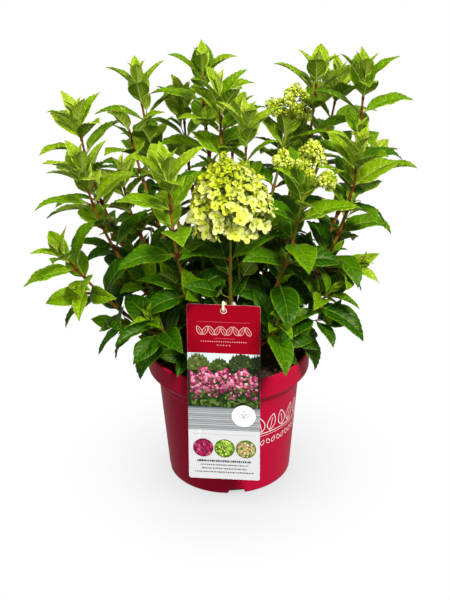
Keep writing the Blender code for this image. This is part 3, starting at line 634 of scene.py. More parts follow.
# Studio and camera. Each light has a name, a place, a size and a power.
SKY_STRENGTH = 0.36
LIGHT_AIM = (0.0, 0.0, 0.30)
LIGHTS = (
    ("key", (1.22, -2.0, 2.65), 0.8, 160.0),
    ("fill", (-1.7, -2.0, 2.3), 1.2, 52.0),
    ("back", (-1.6, 2.3, 2.3), 1.2, 45.0),
)
LEFT_DARK = ("studio_floor", "nursery_pot", "pot_print")
STUDIO_REACH = 20.0
WHITE = (1.0, 1.0, 1.0, 1.0)
STUDIO_GLOW = {"Specular_IOR_Level": 0.0, "Emission_Strength": 1.0, "Emission_Color": WHITE}
CONTACT_SHADE = 0.60
CONTACT_REACH = 0.16
CAMERA_AIM = (-0.0041, 0.0, 0.2644)
CAMERA_DISTANCE = 2.4
CAMERA_RISE = 27.05
CAMERA_ROLL = -0.69
SENSOR_HEIGHT = 36.0
FOCAL_PIXELS = 1720.5
PHOTO_HEIGHT = 600


# Turns and faces

def polar(radius, turn, height=0.0):
    return Vector((radius * math.cos(turn), radius * math.sin(turn), height))


def swung(across, beside, turn):
    """The way at a turn from one way towards another."""
    return across * math.cos(turn) + beside * math.sin(turn)


def turns_of(count):
    return [math.tau * k / count for k in range(count)]


def grid_faces(rows, columns, start=0, closed=False):
    """Quads of a grid whose rows are closed rings, and whose last row may meet its first."""
    faces = []
    for row in range(rows if closed else rows - 1):
        low = start + row * columns
        high = start + (row + 1) % rows * columns
        for k in range(columns):
            ahead = (k + 1) % columns
            faces.append((low + k, low + ahead, high + ahead, high + k))
    return faces


def capped_faces(rows, sides):
    """Faces of a tube of rings with a flat cap at each end."""
    last = (rows - 1) * sides
    return [tuple(reversed(range(sides)))] + grid_faces(rows, sides) + [tuple(range(last, last + sides))]


def prism_faces(count):
    """Faces of a plate: its outline in front, the same outline behind, and the edge between them."""
    faces = [tuple(range(count)), tuple(reversed(range(count, 2 * count)))]
    return faces + [((k + 1) % count, k, count + k, count + (k + 1) % count) for k in range(count)]


def spindle_faces(sides, near, far):
    """Faces that join a ring of points to the two end points before it."""
    faces = []
    for k in range(sides):
        ahead = (k + 1) % sides
        faces.append((near, 2 + k, 2 + ahead))
        faces.append((far, 2 + ahead, 2 + k))
    return faces


def joined(solids):
    """Several vertex and face lists as one."""
    verts = []
    faces = []
    for more_verts, more_faces in solids:
        start = len(verts)
        verts += more_verts
        faces += [tuple(start + k for k in face) for face in more_faces]
    return verts, faces


# Growth rule, as in the solids

class Stem:
    """A smooth centre line with a taper, measured by the distance from its root."""

    def __init__(self, root, root_way, tip, tip_way, root_radius, tip_radius):
        reach = (tip - root).length
        first = root + root_way * reach * ROOT_PULL
        second = tip - tip_way * reach * TIP_PULL
        self.controls = (root, first, second, tip)
        steps = max(2, round(reach / RING_SPACING))
        self.points = [self.curve(step / steps) for step in range(steps + 1)]
        self.marks = [0.0]
        for before, after in zip(self.points, self.points[1:]):
            self.marks.append(self.marks[-1] + (after - before).length)
        self.length = self.marks[-1]
        self.root_radius = root_radius
        self.tip_radius = tip_radius

    def curve(self, t):
        """The point on the smooth curve at a share of the way along it."""
        s = 1 - t
        a, b, c, d = self.controls
        return a * s**3 + b * 3 * s * s * t + c * 3 * s * t * t + d * t**3

    def stretch(self, distance):
        """The straight stretch that a distance from the root falls in, and the share of it before there."""
        step = 0
        while step < len(self.points) - 2 and self.marks[step + 1] < distance:
            step += 1
        return step, (distance - self.marks[step]) / (self.marks[step + 1] - self.marks[step])

    def at(self, distance):
        """The point at a distance from the root, and the way the stem runs there."""
        step, part = self.stretch(min(max(distance, 0.0), self.length))
        span = self.points[step + 1] - self.points[step]
        return self.points[step] + span * part, span.normalized()

    def smooth(self, distance):
        """The point on the smooth curve that the straight stretches follow."""
        step, part = self.stretch(distance)
        return self.curve((step + part) / (len(self.points) - 1))

    def radius(self, distance):
        part = min(max(distance / self.length, 0.0), 1.0)
        return self.root_radius + (self.tip_radius - self.root_radius) * part


def cross_ways(way):
    """Two ways across a stem that turn with it, near +X and +Y on an upright one."""
    turned = Vector((0, 0, 1)).rotation_difference(way)
    return turned @ Vector((1, 0, 0)), turned @ Vector((0, 1, 0))


def tube(stem, start, end, sides):
    """The closed solid of a stem between two distances from its root."""
    between = [mark for mark in stem.marks if start + RING_ROOM < mark < end - RING_ROOM]
    places = [start] + between + [end]
    verts = []
    for distance in places:
        point = stem.at(distance)[0]
        way = (stem.at(distance + WAY_REACH)[1] + stem.at(distance - WAY_REACH)[1]).normalized()
        across, beside = cross_ways(way)
        radius = stem.radius(distance)
        for turn in turns_of(sides):
            verts.append(point + across * radius * math.cos(turn) + beside * radius * math.sin(turn))
    return verts, capped_faces(len(places), sides)


def root_ways(shoots):
    """Where each stem leaves the crown: towards its tip at first, then spread so that none touch."""
    ways = []
    for shoot in shoots:
        turn = math.atan2(shoot.tip[1], shoot.tip[0])
        rise = math.radians(shoot.rise)
        ways.append(polar(math.cos(rise), turn, math.sin(rise)))
    least = math.radians(ROOT_SPREAD)
    for _ in range(SPREAD_ROUNDS):
        for i in range(len(ways)):
            for j in range(i):
                between = ways[i].angle(ways[j])
                if between < least:
                    push = (ways[i] - ways[j]).normalized() * (least - between) * SPREAD_PUSH
                    ways[i] = (ways[i] + push).normalized()
                    ways[j] = (ways[j] - push).normalized()
    return ways


def main_stems(shoots):
    centre = Vector((0, 0, CROWN_HEIGHT))
    stems = {}
    for shoot, way in zip(shoots, root_ways(shoots)):
        tip = Vector(shoot.tip)
        turn = math.atan2(tip.y, tip.x)
        lean = math.radians(shoot.lean)
        tip_way = polar(math.sin(lean), turn, math.cos(lean))
        root = centre + way * (CROWN_RADIUS + GAP)
        stems[shoot.name] = Stem(root, way, tip, tip_way, STEM_ROOT_RADIUS, STEM_TIP_RADIUS)
    return stems


def side_twig(twig, stems):
    stem = stems[twig.shoot]
    root, way = stem.at(stem.length - twig.below)
    out = swung(*cross_ways(way), math.radians(twig.turn))
    first_way = (way * TWIG_ALONG + out).normalized()
    tip_way = (first_way + TWIG_LIFT).normalized()
    tip = root + (first_way + tip_way).normalized() * twig.length
    return Stem(root, first_way, tip, tip_way, TWIG_ROOT_RADIUS, STEM_TIP_RADIUS)


def spine(leaf, part):
    """A point on the middle line of a leaf, and the way up there."""
    point = leaf.root.copy()
    run = leaf.length * part / SPINE_PARTS
    for step in range(SPINE_PARTS):
        bend = math.radians(leaf.arch) * (part * (step + 0.5) / SPINE_PARTS) ** BEND_POWER
        point += (leaf.way * math.cos(bend) - leaf.up * math.sin(bend)) * run
    bend = math.radians(leaf.arch) * part**BEND_POWER
    return point, leaf.up * math.cos(bend) + leaf.way * math.sin(bend)


def half_width(leaf, part):
    """An egg-shaped blade that narrows to a long point, with a stalk at its foot."""
    blade = min(max((part - STALK_END) / (1 - STALK_END), 0.0), 1.0)
    swell = math.sin(math.pi * blade**EGG_POWER) ** ROUND_POWER
    return leaf.length * LEAF_HALF_WIDTH * swell * (FOOT_WIDTH - EGG_TAPER * blade)


def leaf_solid(leaf, start=0.0, spare=0.0):
    """A closed thin blade: a root edge, its outline, and a point above and below its middle."""
    side = leaf.way.cross(leaf.up)
    tangent = math.tan(math.radians(leaf.fold))
    half = leaf.length * LEAF_THICKNESS / 2 + spare
    root, root_up = spine(leaf, start)
    middle, middle_up = spine(leaf, LEAF_MIDDLE)
    verts = [
        root + root_up * (ROOT_HALF_THICKNESS + spare),
        root - root_up * (ROOT_HALF_THICKNESS + spare),
        middle + middle_up * half,
        middle - middle_up * half,
    ]
    small = leaf.length < SMALL_LEAF
    stations = (SMALL_WIDEST,) if small else (LEAF_SHOULDER, LEAF_WAIST)
    rights = []
    lefts = []
    for part in stations:
        point, up = spine(leaf, part)
        wide = half_width(leaf, part) + spare
        rights.append(len(verts))
        verts.append(point + side * wide + up * wide * tangent)
        lefts.append(len(verts))
        verts.append(point - side * wide + up * wide * tangent)
    tip = len(verts)
    verts.append(spine(leaf, 1.0)[0])
    above = [0] + rights + [tip] + lefts[::-1]
    below = [1] + above[1:]
    faces = [(0, 1, rights[0]), (1, 0, lefts[0])]
    faces += [(2, here, there) for here, there in zip(above, above[1:] + above[:1])]
    faces += [(3, there, here) for here, there in zip(below, below[1:] + below[:1])]
    return verts, faces


def leaf_pairs(length):
    """The distance of each pair from the tip of a leafy stem, and its number."""
    below = FIRST_BELOW
    space = FIRST_SPACE
    number = 0
    while below < length - LAST_ROOM:
        yield below, number
        below += space
        space = min(space * SPACE_GROWTH, FULL_SPACE)
        number += 1


def try_leaf(stem, below, turn, number, full, age, draw, attempt):
    """One leaf of a pair, with small differences drawn from the shoot's own seed."""
    root, way = stem.at(stem.length - below)
    loose = LOOSE_TURN + LOOSER_TURN * attempt
    turn = math.radians(turn + draw.uniform(-loose, loose))
    old = max(number - OLD_PAIR, 0)
    angle = min(FIRST_ANGLE + ANGLE_GROWTH * number, FULL_ANGLE) + OLD_ANGLE_GROWTH * (old + age)
    angle += draw.uniform(-LOOSE_ANGLE, LOOSE_ANGLE) - CLOSER_ANGLE * attempt
    angle = math.radians(max(angle, LEAST_ANGLE))
    out = swung(*cross_ways(way), turn)
    leaf_way = (way * math.cos(angle) + out * math.sin(angle)).normalized()
    up = (way * math.sin(angle) - out * math.cos(angle)).normalized()
    up = up + Vector((0, 0, LIGHT_TURN)) + out.cross(way) * draw.uniform(-LOOSE_TILT, LOOSE_TILT)
    up = (up - leaf_way * up.dot(leaf_way)).normalized()
    length = full * min(FIRST_LEAF + LEAF_GROWTH * number, 1.0) * draw.uniform(*LOOSE_LENGTH)
    length *= (1 - OLD_SHRINK * old) * (1 - CLOSER_SHRINK * attempt)
    arch = min(FIRST_ARCH + ARCH_GROWTH * (number + age), FULL_ARCH) * draw.uniform(*LOOSE_ARCH)
    fold = LEAF_FOLD * draw.uniform(*LOOSE_FOLD)
    return Leaf(root, leaf_way, up, length, arch, fold, number, stem.length - below)


def tree_of(verts, faces):
    return BVHTree.FromPolygons([tuple(v) for v in verts], faces)


def touches(tree, others):
    return any(tree.overlap(other) for other in others)


def grow_leaves(stem, leafy_length, turn, full, age, draw, own_limbs, others, own):
    """Pairs of leaves, each turned a quarter from the last, that touch nothing else."""
    leaves = []
    for below, number in leaf_pairs(leafy_length):
        for opposite in (0, 180):
            for attempt in range(TRIES):
                leaf = try_leaf(stem, below, turn + opposite, number, full, age, draw, attempt)
                whole = tree_of(*leaf_solid(leaf, 0.0, LEAF_CLEARANCE))
                if touches(whole, others):
                    continue
                blade = tree_of(*leaf_solid(leaf, BLADE_START, LEAF_CLEARANCE))
                if touches(blade, own_limbs + own):
                    continue
                leaves.append(leaf)
                own.append(blade)
                break
        turn += 90
    return leaves


def bloom_radius(part):
    """The half width of the bloom's cone, from its foot at 0 to its tip at 1."""
    return BLOOM_RADIUS * (1.0 - CONE_TAPER * part**CONE_POWER) * min(1.0, CONE_FOOT + part * CONE_SWELL)


def bloom_core(stem, draw):
    """A lumpy cone round the end of the stem."""
    base, way = stem.at(stem.length)
    across, beside = cross_ways(way)
    verts = [base - way * CORE_BELOW, base + way * BLOOM_LENGTH]
    for part in CORE_RINGS:
        centre = base + way * BLOOM_LENGTH * part
        for turn in turns_of(CORE_SIDES):
            radius = bloom_radius(max(part, 0.0)) * draw.uniform(*LOOSE_CORE)
            verts.append(centre + across * radius * math.cos(turn) + beside * radius * math.sin(turn))
    faces = []
    for k in range(CORE_SIDES):
        ahead = (k + 1) % CORE_SIDES
        faces.append((0, 2 + ahead, 2 + k))
        for ring in range(len(CORE_RINGS) - 1):
            low = 2 + ring * CORE_SIDES
            high = low + CORE_SIDES
            faces.append((low + k, low + ahead, high + ahead))
            faces.append((low + k, high + ahead, high + k))
        top = 2 + (len(CORE_RINGS) - 1) * CORE_SIDES
        faces.append((1, top + k, top + ahead))
    return verts, faces


def flower_places(stem, draw):
    """Flowers spread evenly over the cone by the golden angle: centre, facing way and size."""
    base, way = stem.at(stem.length)
    across, beside = cross_ways(way)
    places = []
    for k in range(BLOOM_FLOWERS):
        part = 1 - math.sqrt((k + 0.5) / BLOOM_FLOWERS)
        radius = bloom_radius(part) * draw.uniform(*LOOSE_REACH)
        out = swung(across, beside, GOLDEN * k)
        centre = base + way * BLOOM_LENGTH * (part * FLOWER_RISE) + out * radius * FLOWER_SUNK
        facing = (out + way * (FACE_UP[0] + FACE_UP[1] * part)).normalized()
        size = FLOWER_RADIUS * (FLOWER_SIZES[0] - FLOWER_SIZES[1] * part) * draw.uniform(*LOOSE_SIZE)
        places.append((centre, facing, size, draw.uniform(0, 90)))
    return places


def flower_solid(centre, facing, size, twist):
    """A flat four-cornered flower with a pointed back that reaches into the bloom."""
    across, beside = cross_ways(facing)
    verts = [centre + facing * FLOWER_THICKNESS / 2, centre - facing * FLOWER_DEPTH]
    verts += [centre + swung(across, beside, math.radians(twist + 90 * k)) * size for k in range(4)]
    return verts, spindle_faces(4, 0, 1)


def bud_places(stem, draw):
    """Bud clusters at the ends of short branches in levels round a young flower head."""
    base, way = stem.at(stem.length)
    across, beside = cross_ways(way)
    places = [(base, base + way * BUD_LENGTH, BUD_CLUSTER * TOP_CLUSTER)]
    for level in range(BUD_LEVELS):
        part = level / BUD_LEVELS
        foot = base + way * BUD_LENGTH * (part * LEVEL_RISE - LEVELS_BELOW)
        spread = BUD_SPREAD * (1.0 - BUD_TAPER * part)
        for k in range(BUD_SPRAYS):
            loose = draw.uniform(-LOOSE_SPRAY, LOOSE_SPRAY)
            out = swung(across, beside, math.radians(loose + 360 / BUD_SPRAYS * k + LEVEL_TURN * level))
            end = foot + out * spread + way * spread * draw.uniform(*SPRAY_UP)
            radius = BUD_CLUSTER * draw.uniform(*LOOSE_CLUSTER) * (1 - CLUSTER_TAPER * part)
            places.append((foot, end, radius))
    return places


def bud_spray_solid(foot, end, radius):
    """A short branch that swells into a rounded cluster of buds."""
    way = (end - foot).normalized()
    across, beside = cross_ways(way)
    verts = [foot, end + way * radius * CLUSTER_TOP]
    verts += [end + swung(across, beside, turn) * radius for turn in turns_of(SPRAY_SIDES)]
    return verts, spindle_faces(SPRAY_SIDES, 1, 0)


def flower_head(shoot, stem, draw):
    """The solids of a shoot's flower head, if it has one."""
    if shoot.end == "bloom":
        return [bloom_core(stem, draw)] + [flower_solid(*place) for place in flower_places(stem, draw)]
    if shoot.end == "buds":
        return [bud_spray_solid(*place) for place in bud_places(stem, draw)]
    return []


def card_frame():
    """The card's top middle, and its ways right, up and out to the viewer."""
    turn = math.radians(CARD_TURN)
    lean = math.radians(CARD_LEAN)
    right = Vector((math.cos(turn), math.sin(turn), 0))
    front = Vector((math.sin(turn), -math.cos(turn), 0))
    up = (Vector((0, 0, 1)) * math.cos(lean) - front * math.sin(lean)).normalized()
    out = right.cross(up)
    touch = front * (RIM_RADIUS + GAP * 2) + Vector((0, 0, POT_HEIGHT - LIP_ROUND))
    top = touch + up * ((CARD_TOP - touch.z) / up.z) + right * CARD_SHIFT
    return top, right, up, out


def card_guard(reach=KEEP_CLEAR, rise=0.0, half=GUARD_HALF):
    """A block in front of the card that leaves stay out of, which may rise towards the viewer."""
    top, right, up, out = card_frame()
    verts = []
    for depth in (-0.001, reach):
        for x, y in ((-half, 0.0), (half, 0.0), (half, 1.0), (-half, 1.0)):
            verts.append(top + right * CARD_WIDTH * x - up * (CARD_HEIGHT * y - rise * depth) + out * depth)
    return verts, prism_faces(4)


# Fine shapes

def placed(name, data):
    """An object in the scene that holds this data."""
    made = bpy.data.objects.new(name, data)
    bpy.context.scene.collection.objects.link(made)
    return made


def finished(name, mesh, finishes, sharp_angle):
    """A mesh with its finishes, smooth but for edges above an angle, as an object."""
    mesh.validate()
    for look in finishes:
        mesh.materials.append(look)
    mesh.shade_smooth()
    mesh.set_sharp_from_angle(angle=math.radians(sharp_angle))
    return placed(name, mesh)


class Batch:
    """Many small closed shapes gathered as arrays and joined into one object."""

    def __init__(self, name):
        self.name = name
        self.verts = []
        self.loops = []
        self.sizes = []
        self.slots = []
        self.count = 0
        self.triangles = 0

    def add(self, verts, shape, slots):
        """One copy of a template's faces over these vertices, with a material slot for each face kind."""
        self.verts.append(verts)
        self.loops.append(shape.loops + self.count)
        self.sizes.append(shape.sizes)
        self.slots.append(np.array(slots)[shape.kinds])
        self.count += len(verts)
        self.triangles += shape.triangles

    def build(self, finishes, sharp_angle=60.0):
        sizes = np.concatenate(self.sizes)
        mesh = bpy.data.meshes.new(self.name)
        mesh.vertices.add(self.count)
        mesh.vertices.foreach_set("co", np.concatenate(self.verts).astype(np.float32).ravel())
        mesh.loops.add(int(sizes.sum()))
        mesh.loops.foreach_set("vertex_index", np.concatenate(self.loops).astype(np.int32))
        mesh.polygons.add(len(sizes))
        starts = np.concatenate(([0], np.cumsum(sizes)[:-1]))
        mesh.polygons.foreach_set("loop_start", starts.astype(np.int32))
        mesh.polygons.foreach_set("material_index", np.concatenate(self.slots).astype(np.int32))
        mesh.update(calc_edges=True)
        return finished(self.name, mesh, finishes, sharp_angle)


class Shape:
    """A template's faces as flat arrays, each with a kind that picks its material slot."""

    def __init__(self, faces, kinds):
        self.loops = np.array([index for face in faces for index in face])
        self.sizes = np.array([len(face) for face in faces])
        self.kinds = np.array(kinds)
        self.triangles = int((self.sizes - 2).sum())


# Kinds of leaf face.
TOP, TOP_RIB, TOP_VEIN, TOP_EDGE, UNDER, UNDER_RIB, UNDER_VEIN, STALK = range(8)
TOP_KINDS = (TOP, TOP_RIB, TOP_VEIN, TOP_EDGE)
UNDER_KINDS = (UNDER, UNDER_RIB, UNDER_VEIN, UNDER)

# Places along a leaf at which its bend is added up.
SPINE_STEPS = np.linspace(0, 1, 40)

# A way that few tubes run along, to turn their first ring by.
SLANT = (0.31, 0.17, 0.94)


def two_faced(columns):
    """How a thin blade's points are numbered, row by row, over its top and back under it."""
    stride = columns * 2 - 2

    def top(row, k):
        return row * stride + k

    def under(row, k):
        return top(row, k) if k in (0, columns - 1) else row * stride + columns + k - 1

    return stride, top, under


class LeafShape:
    """A leaf blade with side veins, a middle rib, small teeth, a pale rim and a stalk.

    Each row runs from the middle rib out along a side vein. A vein is a narrow strip between two
    rows, and the blade swells between veins. Sizes are fractions of the leaf's length.
    """

    COLUMNS = np.array([-1.0, -0.93, -0.52, -0.06, 0.0, 0.06, 0.52, 0.93, 1.0])
    RIB_REACH = 0.1
    STALK_ROWS = (0.0, 0.06)
    BLADE_FROM = 0.12
    BLADE_TO = 0.975
    VEIN_SPAN = (0.165, 0.84)
    VEIN_HALF = 0.0072
    VEIN_SHARE = 0.11
    LAST_SWELL = 0.94
    SHEAR = 0.40
    SHEAR_RUN = 0.16
    SHEAR_POWER = 1.2
    TOOTH_PLACE = 0.65
    TOOTH = 0.0045
    GROOVE = 0.003
    EGG_POWER = 0.76
    EGG_TAPER = 0.20
    TIP_SHARE = 0.30
    TIP_TAPER = 0.30
    TIP_POWER = 1.4
    MOST_RIB = 0.45
    RIB_RISE = 0.3
    YOUNG_FLATTER = 0.7
    QUILT_SHIFT = 0.86
    STALK_HALF = ((0, 0.10, 0.16, 1), (0.0125, 0.0095, 0.0, 0.0))
    RIB_HALF = ((0.10, 0.3, 1.0), (0.010, 0.0065, 0.0012))
    HALF_THICKNESS = ((0, 0.10, 0.18, 1), (0.0125, 0.0100, 0.0035, 0.0022))
    RIB_DEPTH = ((0.1, 1), (0.009, 0.001))
    BODY_RUN = 0.15
    TIP_DROOP = (5, 32)
    CUPPED = (0.15, 0.75)
    WAVES = (1.2, 2.6)
    WAVE_HEIGHT = (0.006, 0.020)
    MOST_TWIST = 14
    MOST_SWAY = 0.05

    def __init__(self, veins):
        gap = (self.VEIN_SPAN[1] - self.VEIN_SPAN[0]) / max(veins - 1, 1)
        half = min(self.VEIN_HALF, gap * self.VEIN_SHARE)
        rows = list(self.STALK_ROWS) + [self.BLADE_FROM]
        swell = [0.0] * len(rows)
        self.strips = []
        for k in range(veins):
            vein = self.VEIN_SPAN[0] + gap * k
            self.strips.append(len(rows))
            rows += [vein - half, vein + half, min(vein + gap / 2, self.LAST_SWELL)]
            swell += [0.0, 0.0, 1.0]
        rows.append(self.BLADE_TO)
        swell.append(0.0)
        self.rows = np.array(rows)
        self.wide = len(self.COLUMNS)
        self.stride, self.top, self.under = two_faced(self.wide)
        across = np.concatenate((self.COLUMNS, self.COLUMNS[1:-1]))
        side = np.concatenate((np.ones(self.wide), -np.ones(self.wide - 2)))
        side[[0, self.wide - 1]] = 0
        self.across = np.tile(across, len(rows))
        self.side = np.tile(side, len(rows))
        self.swell = np.repeat(swell, self.stride)
        self.along = np.concatenate([self.row_places(row, across) for row in self.rows])
        self.tooth = np.zeros(len(self.side))
        self.make_faces()
        self.rib = np.abs(self.across) < self.RIB_REACH

    def row_places(self, row, across):
        """How far along the leaf a row's points lie: further out, further on, as its veins run."""
        open_out = min(max((row - self.BLADE_FROM) / self.SHEAR_RUN, 0.0), 1.0)
        return row + (1 - row) * self.SHEAR * np.abs(across) ** self.SHEAR_POWER * open_out

    def make_faces(self):
        self.faces = []
        self.kinds = []
        teeth_across = []
        teeth_along = []
        first_tooth = len(self.rows) * self.stride
        for row in range(len(self.rows) - 1):
            on_stalk = row < len(self.STALK_ROWS)
            vein = row in self.strips
            tooth = None
            if not on_stalk and not vein:
                tooth = first_tooth + len(teeth_across)
                here, there = (self.row_places(place, 1.0) for place in self.rows[row : row + 2])
                teeth_across += [-1.0, 1.0]
                teeth_along += [here * (1 - self.TOOTH_PLACE) + there * self.TOOTH_PLACE] * 2
            self.add_strip(row, self.top, TOP_KINDS, on_stalk, vein, tooth)
            self.add_strip(row, self.under, UNDER_KINDS, on_stalk, vein, tooth)
        extra = len(teeth_across)
        tip = first_tooth + extra
        last = len(self.rows) - 1
        steps = range(self.wide - 1)
        self.faces += [(self.top(last, k), self.top(last, k + 1), tip) for k in steps]
        self.faces += [(self.under(last, k + 1), self.under(last, k), tip) for k in steps]
        self.kinds += [TOP] * len(steps) + [UNDER] * len(steps)
        foot = [self.top(0, k) for k in range(self.wide - 1, -1, -1)]
        self.faces.append(foot + [self.under(0, k) for k in range(1, self.wide - 1)])
        self.kinds.append(STALK)
        self.across = np.concatenate((self.across, teeth_across, [0.0]))
        self.along = np.concatenate((self.along, teeth_along, [1.0]))
        self.swell = np.concatenate((self.swell, np.zeros(extra + 1)))
        self.side = np.concatenate((self.side, np.zeros(extra + 1)))
        self.tooth = np.concatenate((self.tooth, np.ones(extra), [0.0]))
        self.shape = Shape(self.faces, self.kinds)

    def add_strip(self, row, at, kinds, on_stalk, vein, tooth):
        """One side's faces between two rows, with a tooth on each outer edge where there is one."""
        plain, rib, veined, edge = kinds
        last = self.wide - 2
        for k in range(last + 1):
            if on_stalk:
                kind = STALK
            elif abs(self.COLUMNS[k] + self.COLUMNS[k + 1]) < self.RIB_REACH:
                kind = rib
            elif k in (0, last):
                kind = edge
            else:
                kind = veined if vein else plain
            corners = [at(row, k), at(row, k + 1), at(row + 1, k + 1), at(row + 1, k)]
            parts = [corners]
            if tooth is not None and k == 0:
                parts = [[corners[0], corners[1], corners[2], tooth], [corners[2], corners[3], tooth]]
            elif tooth is not None and k == last:
                parts = [[corners[0], corners[1], tooth + 1, corners[3]], [corners[3], tooth + 1, corners[2]]]
            for part in parts:
                self.faces.append([part[0]] + part[:0:-1] if at == self.under else part)
                self.kinds.append(kind)

    def points(self, leaf, looks, young):
        """The vertices of one leaf, with a little twist, sway and wave of its own."""
        length = leaf.length
        narrow = LEAF_NARROW[0] + (LEAF_NARROW[1] - LEAF_NARROW[0]) * young
        steps = SPINE_STEPS
        droop = math.radians(looks.uniform(*self.TIP_DROOP))
        bends = math.radians(leaf.arch) * steps**BEND_POWER + droop * steps**4
        run = np.diff(steps)
        ahead = np.concatenate(([0], np.cumsum((np.cos(bends[1:]) + np.cos(bends[:-1])) / 2 * run)))
        down = np.concatenate(([0], np.cumsum((np.sin(bends[1:]) + np.sin(bends[:-1])) / 2 * run)))
        part = self.along
        bend = np.interp(part, steps, bends)
        blade = np.clip((part - STALK_END) / (1 - STALK_END), 0, 1)
        swell = np.sin(np.pi * blade**self.EGG_POWER) ** ROUND_POWER * (FOOT_WIDTH - self.EGG_TAPER * blade)
        near_tip = np.clip((blade - 1 + self.TIP_SHARE) / self.TIP_SHARE, 0, 1)
        swell *= 1 - self.TIP_TAPER * near_tip**self.TIP_POWER
        stalk = np.interp(part, *self.STALK_HALF) * length
        wide = np.maximum(length * LEAF_HALF_WIDTH * narrow * swell, stalk)
        rib_wide = np.minimum(np.interp(part, *self.RIB_HALF) * length, wide * self.MOST_RIB)
        size = np.abs(self.across)
        x = np.where(self.rib, np.sign(self.across) * rib_wide, self.across * wide)
        x = x + np.sign(self.across) * self.tooth * length * self.TOOTH
        fold = math.tan(math.radians(leaf.fold * LEAF_FLATTER + YOUNG_FOLD * young))
        turned = looks.uniform(*self.CUPPED) * (1 - self.YOUNG_FLATTER * young)
        flat_rib = np.where(self.rib, self.RIB_RISE, 1.0)
        y = wide * fold * ((1.2 + turned) * size - (0.2 + turned * 1.25) * size**2) * flat_rib
        body = np.clip((part - self.BLADE_FROM) / self.BODY_RUN, 0, 1)
        body *= np.clip((1 - part) / self.BODY_RUN, 0, 1)
        quilt = np.sin(np.pi * np.clip(size * self.QUILT_SHIFT, 0, 1))
        y = y + self.swell * quilt * body * length * LEAF_QUILT
        phase = looks.uniform(0, math.tau)
        waves = looks.uniform(*self.WAVES)
        wave = np.sin(math.tau * waves * part + phase * np.sign(self.across)) * size**2 * body
        y = y + wave * length * looks.uniform(*self.WAVE_HEIGHT)
        middle = self.across == 0
        y = y - middle * (self.side > 0) * body * length * self.GROOVE
        half = np.interp(part, *self.HALF_THICKNESS) * length
        half = half + middle * (self.side < 0) * length * np.interp(part, *self.RIB_DEPTH)
        y = y + self.side * half * np.sqrt(np.clip(1 - (x / np.maximum(wide, 1e-6)) ** 2, 0, 1))
        turn = math.radians(looks.uniform(-self.MOST_TWIST, self.MOST_TWIST)) * part
        x, y = x * np.cos(turn) - y * np.sin(turn), x * np.sin(turn) + y * np.cos(turn)
        x = x + looks.uniform(-self.MOST_SWAY, self.MOST_SWAY) * length * part**2
        on = length * np.interp(part, steps, ahead) + y * np.sin(bend)
        up = -length * np.interp(part, steps, down) + y * np.cos(bend)
        side = leaf.way.cross(leaf.up)
        frame_rows = np.array([leaf.way, leaf.up, side])
        return np.array(leaf.root) + np.stack((on, up, x), axis=1) @ frame_rows


class PetalShape:
    """One broad rounded sepal, closed and thin. Four of them make an open flower."""

    LAST_ROW = 0.97
    BROAD_POWER = 1.35
    ROUND_POWER = 0.62
    FOOT = 0.06
    CUP = (0.10, 0.42)
    THICKNESS = 0.018
    RIPPLE = 0.05
    LOOSE_LIFT = 0.18

    def __init__(self, rows=5, across=(-1.0, -0.55, 0.0, 0.55, 1.0)):
        rows_along = np.sin(np.linspace(0, math.pi / 2, rows + 1))[:-1] * self.LAST_ROW
        across = np.array(across)
        columns = len(across)
        stride, top, under = two_faced(columns)
        faces = []
        kinds = []
        for row in range(rows - 1):
            for k in range(columns - 1):
                faces.append([top(row, k), top(row + 1, k), top(row + 1, k + 1), top(row, k + 1)])
                faces.append([under(row, k), under(row, k + 1), under(row + 1, k + 1), under(row + 1, k)])
                kinds += [2 if row == 0 else 0, 1]
        tip = rows * stride
        for k in range(columns - 1):
            faces.append([top(rows - 1, k + 1), top(rows - 1, k), tip])
            faces.append([under(rows - 1, k), under(rows - 1, k + 1), tip])
            kinds += [0, 1]
        faces.append([top(0, k) for k in range(columns)] + [under(0, k) for k in range(columns - 2, 0, -1)])
        kinds.append(1)
        both = np.concatenate((across, across[1:-1]))
        side = np.array([0.0] + [1.0] * (columns - 2) + [0.0] + [-1.0] * (columns - 2))
        self.across = np.concatenate((np.tile(both, rows), [0.0]))
        self.along = np.concatenate((np.repeat(rows_along, stride), [1.0]))
        self.side = np.concatenate((np.tile(side, rows), [0.0]))
        self.shape = Shape(faces, kinds)

    def points(self, centre, out, facing, size, lift, looks, width=0.46):
        """Vertices of a sepal that spreads out from a flower's centre and lifts towards its facing way."""
        part = self.along
        wide = size * width * np.maximum(np.sin(np.pi * part**self.BROAD_POWER), 0.0) ** self.ROUND_POWER
        x = self.across * (wide + size * self.FOOT * (1 - part))
        cup = looks.uniform(*self.CUP)
        y = size * cup * (self.across**2 * 0.55 * part)
        y = y + self.side * size * self.THICKNESS * (1 - part * 0.6)
        y = y + size * self.RIPPLE * np.sin(part * 9 + looks.uniform(0, 6)) * np.abs(self.across)
        rise = lift + looks.uniform(-self.LOOSE_LIFT, self.LOOSE_LIFT) - cup * part * 0.8
        on = size * part * np.cos(rise)
        up = size * part * np.sin(rise) + y
        side = facing.cross(out)
        return np.array(centre) + np.stack((on, up, x), axis=1) @ np.array([out, facing, side])


def ball_shape(rings, sides):
    """A closed ball template: unit vertices and its faces."""
    verts = [(0.0, 0.0, -1.0)]
    for ring in range(1, rings):
        rise = -math.pi / 2 + math.pi * ring / rings
        wide = math.cos(rise)
        for k in range(sides):
            turn = math.tau * (k + 0.5 * (ring % 2)) / sides
            verts.append((wide * math.cos(turn), wide * math.sin(turn), math.sin(rise)))
    verts.append((0.0, 0.0, 1.0))
    faces = [(0, 1 + (k + 1) % sides, 1 + k) for k in range(sides)]
    faces += grid_faces(rings - 1, sides, 1)
    top = 1 + (rings - 2) * sides
    faces += [(len(verts) - 1, top + k, top + (k + 1) % sides) for k in range(sides)]
    return np.array(verts), Shape(faces, [0] * len(faces))


